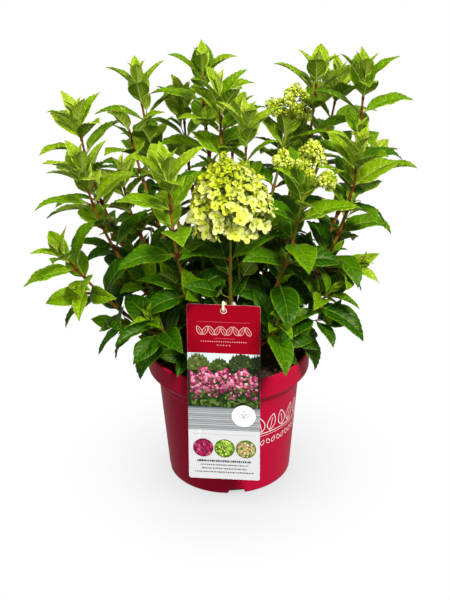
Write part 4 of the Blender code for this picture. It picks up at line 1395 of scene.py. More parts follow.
def sweep(points, radii, sides, relief=None):
    """A tube's vertices round a line of points, ring by ring, with relief on its rings if it is given."""
    points = np.array(points)
    ways = np.gradient(points, axis=0)
    ways /= np.linalg.norm(ways, axis=1)[:, None]
    first = np.cross(ways[0], SLANT)
    if np.linalg.norm(first) < 0.1:
        first = np.cross(ways[0], (1.0, 0.0, 0.0))
    normals = []
    for way in ways:
        first = first - way * np.dot(first, way)
        first = first / np.linalg.norm(first)
        normals.append(first)
    normals = np.array(normals)
    beside = np.cross(ways, normals)
    turns = np.arange(sides) * math.tau / sides
    radii = np.broadcast_to(np.array(radii)[:, None], (len(points), sides))
    if relief is not None:
        radii = radii * relief
    ring = normals[:, None] * np.cos(turns)[:, None] + beside[:, None] * np.sin(turns)[:, None]
    return (points[:, None] + ring * radii[:, :, None]).reshape(-1, 3)


def tube_shape(rows, sides, kinds=None):
    """Faces of a closed tube, with a kind for each stretch between rings."""
    faces = grid_faces(rows, sides)
    face_kinds = [0] * len(faces) if kinds is None else [kind for kind in kinds for _ in range(sides)]
    faces.append(tuple(reversed(range(sides))))
    faces.append(tuple(range((rows - 1) * sides, rows * sides)))
    face_kinds += [face_kinds[0], face_kinds[-1]]
    return Shape(faces, face_kinds)


# Finishes

def linear(colour):
    """An sRGB colour as the renderer's linear values."""
    return tuple(c / 12.92 if c <= 0.04045 else ((c + 0.055) / 1.055) ** 2.4 for c in colour)


def finish(name, colour, roughness, **inputs):
    made = bpy.data.materials.new(name)
    made.use_nodes = True
    shader = made.node_tree.nodes["Principled BSDF"]
    shader.inputs["Base Color"].default_value = (*linear(colour), 1.0)
    shader.inputs["Roughness"].default_value = roughness
    for key, value in inputs.items():
        shader.inputs[key.replace("_", " ")].default_value = value
    made.diffuse_color = (*linear(colour), 1.0)
    return made


def finish_row(name, tints, roughness, **inputs):
    """A finish for each tint, with a number after the name."""
    return [finish(f"{name}_{k}", tint, roughness, **inputs) for k, tint in enumerate(tints)]


def add_grain(made, scale, strength, distance, detail=4.0, stretch=(1, 1, 1)):
    """A fine bump over the whole surface."""
    nodes = made.node_tree.nodes
    links = made.node_tree.links
    place = nodes.new("ShaderNodeTexCoord")
    mapping = nodes.new("ShaderNodeMapping")
    mapping.inputs["Scale"].default_value = stretch
    pattern = nodes.new("ShaderNodeTexNoise")
    pattern.inputs["Scale"].default_value = scale
    pattern.inputs["Detail"].default_value = detail
    bump = nodes.new("ShaderNodeBump")
    bump.inputs["Strength"].default_value = strength
    bump.inputs["Distance"].default_value = distance
    links.new(place.outputs["Object"], mapping.inputs["Vector"])
    links.new(mapping.outputs["Vector"], pattern.inputs["Vector"])
    links.new(pattern.outputs["Fac"], bump.inputs["Height"])
    links.new(bump.outputs["Normal"], nodes["Principled BSDF"].inputs["Normal"])
    return mapping


def add_mottle(made, mapping, colours, scale, spread=(0.35, 0.65)):
    """Soft patches between two colours."""
    nodes = made.node_tree.nodes
    links = made.node_tree.links
    pattern = nodes.new("ShaderNodeTexNoise")
    pattern.inputs["Scale"].default_value = scale
    pattern.inputs["Detail"].default_value = 5.0
    ramp = nodes.new("ShaderNodeValToRGB")
    for stop, place, colour in zip(ramp.color_ramp.elements, spread, colours):
        stop.position = place
        stop.color = (*linear(colour), 1.0)
    links.new(mapping.outputs["Vector"], pattern.inputs["Vector"])
    links.new(pattern.outputs["Fac"], ramp.inputs["Fac"])
    links.new(ramp.outputs["Color"], nodes["Principled BSDF"].inputs["Base Color"])


# Helpers for made things

def add_object(name, verts, faces, finishes, sharp_angle=35.0):
    mesh = bpy.data.meshes.new(name)
    mesh.from_pydata([tuple(v) for v in verts], [], faces)
    return finished(name, mesh, finishes, sharp_angle)


def dress(piece, slot, *nodes):
    """Ride the piece on the one body, in place of the nodes it stands for."""
    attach(piece, "root")
    if nodes:
        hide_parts(*nodes)


def cut_out(target, verts, faces):
    """Cut a closed shape out of an object for good."""
    cutter = add_object("cutter", verts, faces, [])
    cut = target.modifiers.new("cut", "BOOLEAN")
    cut.object = cutter
    cut.operation = "DIFFERENCE"
    graph = bpy.context.evaluated_depsgraph_get()
    mesh = bpy.data.meshes.new_from_object(target.evaluated_get(graph))
    target.modifiers.clear()
    target.data = mesh
    bpy.data.objects.remove(cutter)


def rounded(profile, reach, steps=4):
    """A profile whose inner corners are turned by short curves."""
    points = [profile[0]]
    for before, corner, after in zip(profile, profile[1:], profile[2:]):
        corner = Vector(corner)
        back = Vector(before) - corner
        on = Vector(after) - corner
        cut = min(reach, back.length * 0.45, on.length * 0.45)
        start = corner + back.normalized() * cut
        end = corner + on.normalized() * cut
        for step in range(steps + 1):
            t = step / steps
            points.append(tuple(start * (1 - t) ** 2 + corner * 2 * t * (1 - t) + end * t * t))
    points.append(profile[-1])
    return points


def lathe(profile, sides):
    """Turn a profile of (radius, height) points, with a flat cap at its first and last ring."""
    verts = [polar(radius, turn, height) for radius, height in profile for turn in turns_of(sides)]
    return verts, capped_faces(len(profile), sides)


def wall_rings():
    """Rings close above the notches, so that the cuts leave the wall's long faces alone."""
    rings = []
    for height in RING_HEIGHTS:
        share = (height - FOOT_CHAMFER) / (WALL_TOP - FOOT_CHAMFER)
        rings.append((FOOT_RADIUS + (BODY_TOP_RADIUS - FOOT_RADIUS) * share, height))
    return rings


def pot_outside():
    """The outer wall, from the foot up to the rounded lip."""
    return [
        (FOOT_RADIUS - FOOT_CHAMFER, 0.0),
        (FOOT_RADIUS, FOOT_CHAMFER),
        *wall_rings(),
        (BODY_TOP_RADIUS, WALL_TOP),
        (SHOULDER_RADIUS, WALL_TOP + STEP_HEIGHT),
        (SHOULDER_RADIUS, CHAMFER_FOOT),
        (RIM_RADIUS - RIM_FLARE - LIP_ROUND, UNDER_RIM),
        (RIM_RADIUS - RIM_FLARE, UNDER_RIM + LIP_ROUND),
        (RIM_RADIUS, POT_HEIGHT - LIP_ROUND),
        (RIM_RADIUS - LIP_ROUND * 0.6, POT_HEIGHT),
    ]


def pot_inside():
    """The inner wall, from the rounded lip down to the floor."""
    return [
        (RIM_RADIUS - LIP_ROUND * 1.4, POT_HEIGHT),
        (RIM_RADIUS - WALL - LIP_ROUND * 0.4, POT_HEIGHT - LIP_ROUND),
        (RIM_RADIUS - RIM_FLARE - WALL - LIP_ROUND * 0.4, UNDER_RIM + WALL),
        (SHOULDER_RADIUS - WALL, CHAMFER_FOOT),
        *[(radius - WALL, height) for radius, height in reversed(wall_rings())],
        (FOOT_RADIUS - WALL, FLOOR),
    ]


def notch_prism(turn):
    """A trapezoid that reaches out through the wall, with its wide side below the underside."""
    out = polar(1, turn)
    along = Vector((-out.y, out.x, 0))
    slope = (NOTCH_WIDTH - NOTCH_TOP_WIDTH) / 2 / NOTCH_HEIGHT
    low = -NOTCH_BELOW
    verts = []
    for radius in (NOTCH_INNER_RADIUS, NOTCH_OUTER_RADIUS):
        for side, height in ((-1, low), (1, low), (1, NOTCH_HEIGHT), (-1, NOTCH_HEIGHT)):
            half = NOTCH_WIDTH / 2 - slope * height
            verts.append(out * radius + along * side * half + Vector((0, 0, height)))
    return verts, capped_faces(2, 4)


# Pot and soil

def make_pot():
    """The moulded pot with its rounded lip, step and drain notches."""
    plastic = finish("pot_plastic", POT_COLOUR, 0.34, **POT_SHEEN)
    add_grain(plastic, 700.0, 0.12, 0.0004)
    profile = rounded(pot_outside() + pot_inside(), POT_ROUND)
    pot = add_object("nursery_pot", *lathe(profile, FINE_POT_SIDES), [plastic])
    for k in range(NOTCH_COUNT):
        cut_out(pot, *notch_prism(math.radians(NOTCH_FIRST_TURN + 360 / NOTCH_COUNT * k)))
    dress(pot, "pot", "pot")


def wall_place(middle_turn):
    """Places on the pot's wall, from a distance round it, a height, and how far they stand proud."""
    low = Vector((FOOT_RADIUS, FOOT_CHAMFER))
    high = Vector((BODY_TOP_RADIUS, WALL_TOP))

    def place(x, z, proud):
        radius = low.x + (high.x - low.x) * (z - low.y) / (high.y - low.y)
        return polar(radius + proud, middle_turn + x / PRINT_RADIUS, z)

    return place


def make_pot_print():
    """A plain border of leaves between fine rules, printed on two sides of the pot."""
    batch = Batch("pot_print")
    half = PRINT_SPAN / 2
    count = int(PRINT_SPAN / LEAF_PITCH)
    length, wide = PRINT_LEAF
    small_length, small_wide = length * SMALL_SHARE[0], wide * SMALL_SHARE[1]
    for turn in PRINT_TURNS:
        place = wall_place(math.radians(turn))
        for height, weight in PRINT_RULES:
            ribbon(batch, [(x, height) for x in np.linspace(-half, half, 60)], weight, place, 0)
        for x, side in zip(centred_row(count, LEAF_PITCH), alternate(count)):
            tilt = PRINT_TILT * side
            outline = leaf_outline(x, PRINT_MIDDLE, length, wide, tilt)
            ribbon(batch, outline, PRINT_WEIGHT, place, 0, closed=True)
            vein = [(x + math.sin(tilt) * length * s, PRINT_MIDDLE + length * s) for s in PRINT_VEIN]
            ribbon(batch, vein, VEIN_WEIGHT, place, 0)
        for x, side in zip(centred_row(count * 2, LEAF_PITCH / 2), alternate(count * 2)):
            outline = leaf_outline(x, SMALL_ROW, small_length, small_wide, SMALL_TILT * side)
            ribbon(batch, outline, SMALL_WEIGHT, place, 0, closed=True)
    dress(batch.build([finish("white_ink", POT_INK, 0.4)], 30), "pot")


def centred_row(count, pitch):
    return [(k - (count - 1) / 2) * pitch for k in range(count)]


def alternate(count):
    return [1 if k % 2 else -1 for k in range(count)]


def leaf_outline(x, y, length, half, tilt):
    """A pointed leaf drawn as a closed line round its middle."""
    points = []
    for turn in turns_of(OUTLINE_STEPS):
        along = math.cos(turn) * length / 2
        across = half * math.sin(turn) * (1 - OUTLINE_EGG * math.cos(turn))
        across *= abs(math.sin(turn)) ** OUTLINE_POINT
        points.append((x + across * math.cos(tilt) + along * math.sin(tilt),
                       y + along * math.cos(tilt) - across * math.sin(tilt)))
    return points


def soil_edge():
    (low_radius, low_height), (high_radius, high_height) = pot_inside()[2], pot_inside()[1]
    share = (SOIL_EDGE_HEIGHT - low_height) / (high_height - low_height)
    return low_radius + (high_radius - low_radius) * share - GAP * 2


def lump(spot, layers):
    """How far a surface stands out at a spot, from layers of noise that each have a rate and a height."""
    return sum(noise.noise(spot * rate) * height for rate, height in layers)


def soil_height(part):
    """The height of the soil at a share of the way from its middle to its edge."""
    return SOIL_EDGE_HEIGHT + SOIL_DOME * (1 - part**2)


def make_soil():
    """Loose peat: a lumpy top over a body that fills the pot, with crumbs strewn on it."""
    looks = random.Random(LOOKS_SEED + 4)
    edge = soil_edge()
    profile = [(radius - GAP * 2, height + GAP) for radius, height in list(reversed(pot_inside()))[:-2]]
    fixed = len(profile) * SOIL_SIDES
    for ring in range(SOIL_RINGS):
        part = 1 - ring / SOIL_RINGS
        profile.append((edge * part, soil_height(part)))
    verts, faces = lathe(profile, SOIL_SIDES)
    verts[fixed:] = [spot + Vector((0, 0, lump(spot, SOIL_LUMPS))) for spot in verts[fixed:]]
    peat = finish("peat", PEAT_BROWN, 0.95)
    mapping = add_grain(peat, 1400.0, 0.9, 0.0012)
    add_mottle(peat, mapping, PEAT_PATCHES, 700.0)
    dress(add_object("peat", verts, faces, [peat], 60), "soil", "soil")

    ball_verts, ball = ball_shape(4, 6)
    crumbs = Batch("peat_crumbs")
    for _ in range(CRUMBS):
        part = math.sqrt(looks.uniform(*CRUMB_SPREAD))
        spot = polar(edge * part, looks.uniform(0, math.tau), soil_height(part))
        size = looks.uniform(*CRUMB_SIZE) * (1 if looks.random() < SMALL_CRUMBS else LARGE_CRUMB)
        way = Vector([looks.uniform(-1, 1) for _ in range(3)]).normalized()
        first, second = cross_ways(way)
        first *= looks.uniform(*CRUMB_WIDE)
        second *= looks.uniform(*CRUMB_FLAT)
        stretch = np.array([first, second, way]) * size
        lumps = np.array([[looks.uniform(*CRUMB_LUMPS)] for _ in range(len(ball_verts))])
        crumbs.add((ball_verts * lumps) @ stretch + np.array(spot), ball, (looks.choice((0, 0, 0, 1, 1, 2)),))
    dress(crumbs.build(finish_row("crumb", CRUMB_TINTS, 0.9), 40), "soil", "soil")


# Prints: thin closed inlays that stand a hair proud of what they are printed on

def plate(batch, outline, place, level, slot):
    """A flat shape printed at a level above the surface."""
    proud = level * INK_STEP
    verts = [place(x, y, depth) for depth in (proud, proud - INK_DEPTH) for x, y in outline]
    faces = prism_faces(len(outline))
    area = sum(a[0] * b[1] - b[0] * a[1] for a, b in zip(outline, outline[1:] + outline[:1]))
    if area < 0:
        faces = [tuple(reversed(face)) for face in faces]
    batch.add(np.array(verts), Shape(faces, [0] * len(faces)), (slot,))


def ribbon(batch, line, width, place, slot, level=1, closed=False):
    """A printed line of an even width along points."""
    points = np.array(line, float)
    if closed:
        ways = np.roll(points, -1, axis=0) - np.roll(points, 1, axis=0)
    else:
        ways = np.gradient(points, axis=0)
    ways /= np.maximum(np.linalg.norm(ways, axis=1), 1e-9)[:, None]
    normals = np.stack((-ways[:, 1], ways[:, 0]), axis=1) * width / 2
    proud = level * INK_STEP
    verts = []
    for point, normal in zip(points, normals):
        for side, depth in ((-1, proud), (1, proud), (1, proud - INK_DEPTH), (-1, proud - INK_DEPTH)):
            x, y = point + normal * side
            verts.append(place(x, y, depth))
    count = len(points)
    faces = [(a, d, c, b) for a, b, c, d in grid_faces(count, 4, closed=closed)]
    if not closed:
        faces += [(0, 1, 2, 3), tuple((count - 1) * 4 + j for j in (3, 2, 1, 0))]
    batch.add(np.array(verts), Shape(faces, [0] * len(faces)), (slot,))


# Label

def card_outline(inset=0.0):
    """The card's outline with round corners, as (across, up) from the middle of its top edge."""
    half = CARD_WIDTH / 2 - CORNER_RADIUS
    low = CORNER_RADIUS - CARD_HEIGHT
    corners = ((half, -CORNER_RADIUS), (-half, -CORNER_RADIUS), (-half, low), (half, low))
    points = []
    for number, (across, up) in enumerate(corners):
        for step in range(CORNER_STEPS + 1):
            turn = math.radians(90 * number + 90 * step / CORNER_STEPS)
            spot = polar(CORNER_RADIUS - inset, turn)
            points.append((across + spot.x, up + spot.y))
    return points


def card_place():
    """Places on the printed face of the card."""
    top, right, up, out = card_frame()
    face = CARD_THICKNESS - PRINT_ROOM

    def place(x, y, proud):
        return top + right * x + up * y + out * (face + proud)

    return place


def make_card():
    """The laminated card, with a punched hole."""
    white = finish("card_white", (0.80, 0.80, 0.80), 0.32, Specular_IOR_Level=0.30)
    add_grain(white, 500.0, 0.05, 0.0003)
    place = card_place()
    outline = card_outline()
    verts = [place(x, y, depth) for depth in (0.0, PRINT_ROOM - CARD_THICKNESS) for x, y in outline]
    card = add_object("label_sheet", verts, prism_faces(len(outline)), [white])
    ring = [(HOLE_RADIUS * math.cos(a), HOLE_RADIUS * math.sin(a) - HOLE_DROP) for a in turns_of(HOLE_SIDES)]
    verts = [place(x, y, depth) for depth in (-PUNCH_REACH, PUNCH_REACH) for x, y in ring]
    cut_out(card, verts, capped_faces(2, HOLE_SIDES))
    dress(card, "card", "label_card")


class Press:
    """Prints plain shapes on the card, in millimetres across from its middle and down from its top."""

    def __init__(self, name):
        self.batch = Batch(name)
        self.place = card_place()
        self.inks = []

    def ink(self, colour):
        if colour not in self.inks:
            self.inks.append(colour)
        return self.inks.index(colour)

    def metres(self, points):
        return [(x / 1000, -down / 1000) for x, down in points]

    def shape(self, points, level, colour):
        plate(self.batch, self.metres(points), self.place, level, self.ink(colour))

    def bar(self, x0, x1, down0, down1, level, colour):
        self.shape([(x0, down1), (x1, down1), (x1, down0), (x0, down0)], level, colour)

    def disc(self, x, down, radius, level, colour, lobes=0, depth=0.0, twist=0.0):
        count = max(12, lobes * 4, int(radius * 4))
        points = []
        for turn in turns_of(count):
            reach = radius * (1 - depth + depth * math.cos(lobes * turn + twist))
            points.append((x + reach * math.cos(turn), down - reach * math.sin(turn)))
        self.shape(points, level, colour)

    def leaf(self, x, down, length, half, turn, level, colour, width=None):
        """A leaf, filled, or drawn as a line of a width."""
        outline = [(x + a, down - b) for a, b in leaf_outline(0, 0, length, half, turn)]
        if width:
            self.line(outline, width, level, colour, closed=True)
        else:
            self.shape(outline, level, colour)

    def line(self, points, width, level, colour, closed=False):
        ribbon(self.batch, self.metres(points), width / 1000, self.place, self.ink(colour), level, closed)

    def rule(self, x0, x1, down, width, level, colour):
        self.line([(x0, down), (x1, down)], width, level, colour)

    def circle(self, x, down, radius, sides, width, level, colour):
        points = [(x + radius * math.cos(a), down - radius * math.sin(a)) for a in turns_of(sides)]
        self.line(points, width, level, colour, closed=True)

    def dashes(self, x0, x1, down, height, level, colour, looks):
        """A row of short strokes of uneven length."""
        x = x0
        while x < x1 - 0.6:
            wide = min(looks.uniform(0.9, 3.2), x1 - x)
            self.bar(x, x + wide, down - height / 2, down + height / 2, level, colour)
            x += wide + looks.uniform(0.5, 1.0)


def make_card_print():
    """A plain design of leaves and flower dabs in the colours of a plant label."""
    looks = random.Random(LOOKS_SEED + 5)
    press = Press("label_print")
    wide = CARD_WIDTH * 500 - PRINT_INSET
    corners = card_outline(PRINT_INSET / 1000)[:2 * (CORNER_STEPS + 1)]
    header = [(x * 1000, -y * 1000) for x, y in corners]
    press.shape(header + [(-wide, HEADER_END), (wide, HEADER_END)], 1, HEADER_RED)
    print_garland(press)
    print_picture(press, looks, wide)
    print_foot(press, looks)
    inks = finish_row("print", press.inks, 0.42, Specular_IOR_Level=0.08)
    dress(press.batch.build(inks, 20), "card")


def print_garland(press):
    """Fine pale strokes on the header: a row of leaves between two rules, dots and a ring at the hole."""
    press.rule(*UPPER_RULE, 2, ROSE_INK)
    for k, side in enumerate(alternate(GARLAND_LEAVES)):
        x = -GARLAND_REACH + 2 * GARLAND_REACH * (k + 0.5) / GARLAND_LEAVES
        tilt = GARLAND_TILT * side
        press.leaf(x, GARLAND_DOWN, *GARLAND_LEAF, tilt, 2, PALE_INK, GARLAND_WEIGHT)
        vein = [(x + math.sin(tilt) * s, GARLAND_DOWN - math.cos(tilt) * s) for s in GARLAND_VEIN]
        press.line(vein, FINE_WEIGHT, 2, PALE_INK)
    press.rule(*LOWER_RULE, 2, ROSE_INK)
    for count, pitch, down, radius in HEADER_DISCS:
        for x in centred_row(count, pitch):
            press.disc(x, down, radius, 2, PALE_INK)
    press.circle(0, HOLE_DROP * 1000, HOLE_RING, HOLE_SIDES, HOLE_RING_WEIGHT, 2, RING_WHITE)


def print_picture(press, looks, wide):
    """The picture's place: drifts of round flowers over leaves, between a pale sky and a paved edge."""
    press.bar(-wide, wide, HEADER_END, SKY_END, 1, SKY_PALE)
    for x, down, reach, high, colour in HEDGES:
        points = []
        for step in range(HEDGE_STEPS + 1):
            turn = math.pi * step / HEDGE_STEPS
            ruffle = 1 + RUFFLE * math.sin(step * RUFFLE_RATE + x)
            spot = (x + reach * math.cos(turn), down - high * math.sin(turn) * ruffle)
            points.append((max(min(spot[0], wide), -wide), max(spot[1], HEADER_END)))
        press.shape(points, 2, colour)
    for _ in range(HEDGE_DABS):
        x, down, reach, high, colour = looks.choice(HEDGES)
        turn = looks.uniform(*DAB_TURN)
        near = looks.uniform(*DAB_NEAR)
        spot = (x + reach * near * math.cos(turn), down - high * near * math.sin(turn))
        light = looks.choice(DAB_LIGHTS)
        if abs(spot[0]) < wide - DAB_MARGIN:
            press.disc(*spot, looks.uniform(*DAB_SIZE), 3, tuple(c * light for c in colour))
    press.bar(-wide, wide, BED_TOP, PICTURE_END, 4, BED_GREEN)
    press.bar(-wide, wide, BED_END, PICTURE_END, 5, PAVING_GREY)
    for k in range(PAVING_ROWS):
        low = PAVING_TOP + PAVING_PITCH * k
        shade = 0.60 + 0.05 * (k % 3)
        press.bar(-wide, wide, low, low + PAVING_STONE, 6, (shade, shade, shade - 0.01))
    for _ in range(BED_LEAVES):
        x = looks.uniform(-wide + LEAF_MARGIN, wide - LEAF_MARGIN)
        down = looks.uniform(*LEAF_ROWS)
        green = looks.choice(PICTURE_GREENS)
        length, half, turn = (looks.uniform(*ends) for ends in LEAF_SPANS)
        press.leaf(x, down, length, half, turn, 6, green)
    for number in range(BED_FLOWERS):
        spread = looks.uniform(-1.0, 1.0)
        x = max(min(spread * DRIFT_REACH, wide - DRIFT_MARGIN), -wide + DRIFT_MARGIN)
        arch = 6 * math.cos(x * DRIFT_RATE) + 4
        down = DRIFT_TOP - arch + DRIFT_DEPTH * looks.random() ** 1.5
        size = looks.uniform(*DRIFT_FLOWER)
        deep = 1 - PINKS_DEEPEN * int(max(down - SKY_END, 0) / DEEPEN_STEP)
        colour = tuple(c * deep for c in looks.choice(PICTURE_PINKS))
        level = 7 + number % 2
        press.disc(x, down, size, level, colour, 6, 0.16, looks.uniform(0, 6))
        light = tuple(min(c * 1.18 + 0.05, 1.0) for c in colour)
        press.disc(x - size * 0.15, down - size * 0.2, size * 0.42, level + 2, light)
    x, down = BADGE_PLACE
    press.disc(x, down, BADGE_RADIUS, 11, BADGE_WHITE)
    press.circle(x, down, BADGE_RING, 48, 0.35, 12, BADGE_GREY)
    for tilt in (-0.95, 0.0, 0.95):
        across = x + math.sin(tilt) * BADGE_LIFT
        press.leaf(across, down + 2.5 - math.cos(tilt) * BADGE_LIFT, *BADGE_LEAF, tilt, 12, BADGE_DARK, 0.5)


def print_foot(press, looks):
    """The white foot: a thin rule, three round patches of flower colour and rows of fine strokes."""
    press.rule(*FOOT_RULE, 1, RULE_GREY)
    for x, ground, dabs in PATCHES:
        press.disc(x, PATCH_DOWN, PATCH_RADIUS, 1, ground)
        for _ in range(PATCH_DABS):
            turn = looks.uniform(0, math.tau)
            reach = PATCH_REACH * math.sqrt(looks.random())
            size = looks.uniform(1.1, 2.4)
            spot = (x + reach * math.cos(turn), PATCH_DOWN + reach * math.sin(turn))
            press.disc(*spot, size, 2 + (reach < 7), looks.choice(dabs), 4, 0.18, looks.uniform(0, 6))
    for down, reach, height, shade in FOOT_ROWS:
        press.dashes(-reach, reach, down, height, 1, (shade, shade, shade), looks)


def make_loop(stem):
    """The cream strand through the hole and round the front stem."""
    cream = finish("cream_strand", STRAND_CREAM, 0.45)
    verts, faces = ring_tube(loop_points(stem), STRAND_RADIUS, 12)
    dress(add_object("label_strand", verts, faces, [cream], 60), "loop", "label_loop")


def loop_points(stem):
    """A closed line through the card's hole, over its top edge and round the stem behind it."""
    top, right, up, out = card_frame()
    hole = top - up * HOLE_DROP
    distance = 0.0
    while stem.at(distance)[0].z < CARD_TOP - 0.014:
        distance += 0.001
    around = stem.at(distance)[0]
    inward = around - top
    inward.z = 0
    inward.normalize()
    beside = Vector((-inward.y, inward.x, 0))
    clear = stem.radius(distance) + STRAND_RADIUS + GAP
    front = CARD_THICKNESS + STRAND_RADIUS + GAP
    above = STRAND_RADIUS + GAP
    tilt = Vector((0, 0, 0.0025))
    corners = [
        hole + out * CARD_THICKNESS / 2,
        hole + out * (front + 0.0004) + up * 0.0030,
        top + out * (front + 0.0004) - up * 0.0022,
        top + out * front + up * 0.0014,
        top + out * CARD_THICKNESS / 2 + up * (above + 0.0016),
        top - out * (front - CARD_THICKNESS) + up * 0.0010,
        top - out * (front + 0.0004) - up * 0.0060 + right * 0.0022,
        around + beside * clear * 1.05 - inward * clear * 1.2 + tilt,
        around + beside * clear * 1.1 + inward * clear * 0.4 + tilt * 0.8,
        around + inward * clear * 1.15,
        around - beside * clear * 1.1 + inward * clear * 0.4 - tilt * 0.8,
        around - beside * clear * 1.05 - inward * clear * 1.2 - tilt,
        hole - out * 0.0050 - up * 0.0010,
    ]
    return smooth_closed(corners, 10)


def smooth_closed(corners, steps):
    """Points on a smooth closed curve through the corners."""
    count = len(corners)
    points = []
    for k in range(count):
        a, b, c, d = (corners[(k + shift) % count] for shift in (-1, 0, 1, 2))
        for step in range(steps):
            t = step / steps
            points.append(0.5 * ((2 * b) + (c - a) * t + (2 * a - 5 * b + 4 * c - d) * t * t
                                 + (3 * b - a - 3 * c + d) * t**3))
    return points


def ring_tube(points, radius, sides):
    """A closed tube round a closed line of points, whose last ring is turned to meet its first."""
    count = len(points)
    ways = [(points[(k + 1) % count] - points[k - 1]).normalized() for k in range(count)]
    normals = [Vector((0.3, 0.2, 1))]
    for way in ways:
        last = normals[-1]
        normals.append((last - way * last.dot(way)).normalized())
    normals = normals[1:]
    carried = (normals[-1] - ways[0] * normals[-1].dot(ways[0])).normalized()
    short = math.atan2(ways[0].dot(carried.cross(normals[0])), carried.dot(normals[0]))
    verts = []
    for k in range(count):
        beside = ways[k].cross(normals[k])
        for turn in turns_of(sides):
            verts.append(points[k] + swung(normals[k], beside, turn + short * k / count) * radius)
    return verts, grid_faces(count, sides, closed=True)


# Growing the plant

Grown = namedtuple("Grown", "shoot stem twigs leaves own")


def node_tree(name):
    """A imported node's surface for the touch tests."""
    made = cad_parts[name]
    verts = [made.matrix_world @ v.co for v in made.data.vertices]
    return tree_of(verts, [tuple(p.vertices) for p in made.data.polygons])


def seated(line, leaves):
    """The same leaves with their roots on the smooth line of their stem."""
    moved = []
    for leaf in leaves:
        root = leaf.root + line.smooth(leaf.place) - line.at(leaf.place)[0]
        moved.append(leaf._replace(root=root))
    return moved


def grow_plant():
    """Every shoot with the leaves that its solid has, by the same draws in the same order."""
    stems = main_stems(SHOOTS)
    fixtures = [node_tree(name) for name in ("pot", "soil", "root_crown", "label_card", "label_loop")]
    fixtures.append(tree_of(*card_guard()))
    stem_solids = {}
    twigs = {shoot.name: [] for shoot in SHOOTS}
    for shoot in SHOOTS:
        stem = stems[shoot.name]
        bare = tube(stem, 0.0, BARE_LENGTH, BARE_SIDES)
        leafy = tube(stem, BARE_LENGTH + GAP, stem.length, SHOOT_SIDES)
        stem_solids[shoot.name] = [bare, leafy]
    for twig in TWIGS:
        line = side_twig(twig, stems)
        twigs[twig.shoot].append((line, twig))
        stem_solids[twig.shoot].append(tube(line, 0.0, line.length, TWIG_SIDES))
    limb_trees = {name: tree_of(*joined(solids)) for name, solids in stem_solids.items()}

    grown = []
    trees = []
    for seed, shoot in enumerate(SHOOTS):
        draw = random.Random(FIRST_SEED + seed)
        stem = stems[shoot.name]
        own_limbs = [limb_trees[shoot.name]]
        others = fixtures + trees + [tree for name, tree in limb_trees.items() if name != shoot.name]
        head = flower_head(shoot, stem, draw)
        own = [tree_of(*head[0])] if shoot.end == "bloom" else []
        lines = [(stem, stem.length - BARE_LENGTH, shoot.turn, shoot.leaf)]
        for line, twig in twigs[shoot.name]:
            lines.append((line, line.length * TWIG_LEAFY, twig.turn, twig.leaf))
        leaves = []
        fine = []
        for line in lines:
            found = grow_leaves(*line, shoot.age, draw, own_limbs, others, own)
            leaves += found
            fine.append((line[0], seated(line[0], found)))
        solids = stem_solids[shoot.name][1:] + head + [leaf_solid(leaf) for leaf in leaves]
        trees.append(tree_of(*joined(solids)))
        grown.append(Grown(shoot, stem, [line for line, _ in twigs[shoot.name]], fine, own))
    return grown, fixtures + trees + list(limb_trees.values())


def grow_tufts(plant, looks):
    """The youngest leaves, which stand in the cup of each tip's first pair."""
    made = []
    for line in [plant.stem] + plant.twigs if plant.shoot.end == "tuft" else []:
        for number, scale in TUFT_PAIRS:
            for opposite in (0, 180):
                turn = plant.shoot.turn + opposite - 90 * number
                made.append(try_leaf(line, 0.0, turn, number, plant.shoot.leaf * scale, 0, looks, 0))
    return made


def side_line(root, way, out, length):
    """A short side twig that leaves a stem outward and then turns along with it."""
    first_way = (way + out * SIDE_LEAN).normalized()
    tip_way = (first_way + way).normalized()
    tip = root + (first_way + tip_way).normalized() * length
    return Stem(root, first_way, tip, tip_way, SIDE_RADIUS, SIDE_TIP_RADIUS)


def grow_side_shoots(plant, looks, others):
    """Short twigs in the axils of older leaves and low on the stems, by the same rule in small."""
    stem = plant.stem
    places = []
    for line, leaves in plant.leaves:
        for leaf in leaves:
            if leaf.number >= SIDE_FIRST_PAIR and looks.random() < SIDE_SHARE:
                length = looks.uniform(*SIDE_LENGTH)
                twig = side_line(leaf.root + leaf.way * SIDE_OUT, line.at(leaf.place)[1], leaf.way, length)
                places.append((twig, looks.uniform(*SIDE_LEAF), SIDE_AGE_AND_SHADE))
    for distance in INNER_PLACES:
        distance += looks.uniform(-INNER_LOOSE, INNER_LOOSE)
        way = stem.at(distance)[1]
        turn = looks.uniform(0, math.tau)
        for opposite in (0, math.pi):
            out = swung(*cross_ways(way), turn + opposite)
            length = looks.uniform(*INNER_LENGTH)
            twig = side_line(stem.smooth(distance) + out * SIDE_OUT, way, out * INNER_LEAN, length)
            places.append((twig, looks.uniform(*INNER_LEAF), INNER_AGE_AND_SHADE))
    made = []
    lines = []
    for line, share, age in places:
        full = plant.shoot.leaf * share
        leafy = line.length * TWIG_LEAFY
        found = grow_leaves(line, leafy, looks.uniform(0, 360), full, 0, looks, [], others, plant.own)
        if age == INNER_AGE_AND_SHADE:
            found = [leaf for leaf in found if leaf.number > 0]
        if len(found) > 1:
            # The pairs counted on give older shapes and darker tints, painted shade inside the crown.
            made += [small._replace(number=small.number + age) for small in seated(line, found)]
            lines.append(line)
    return made, lines


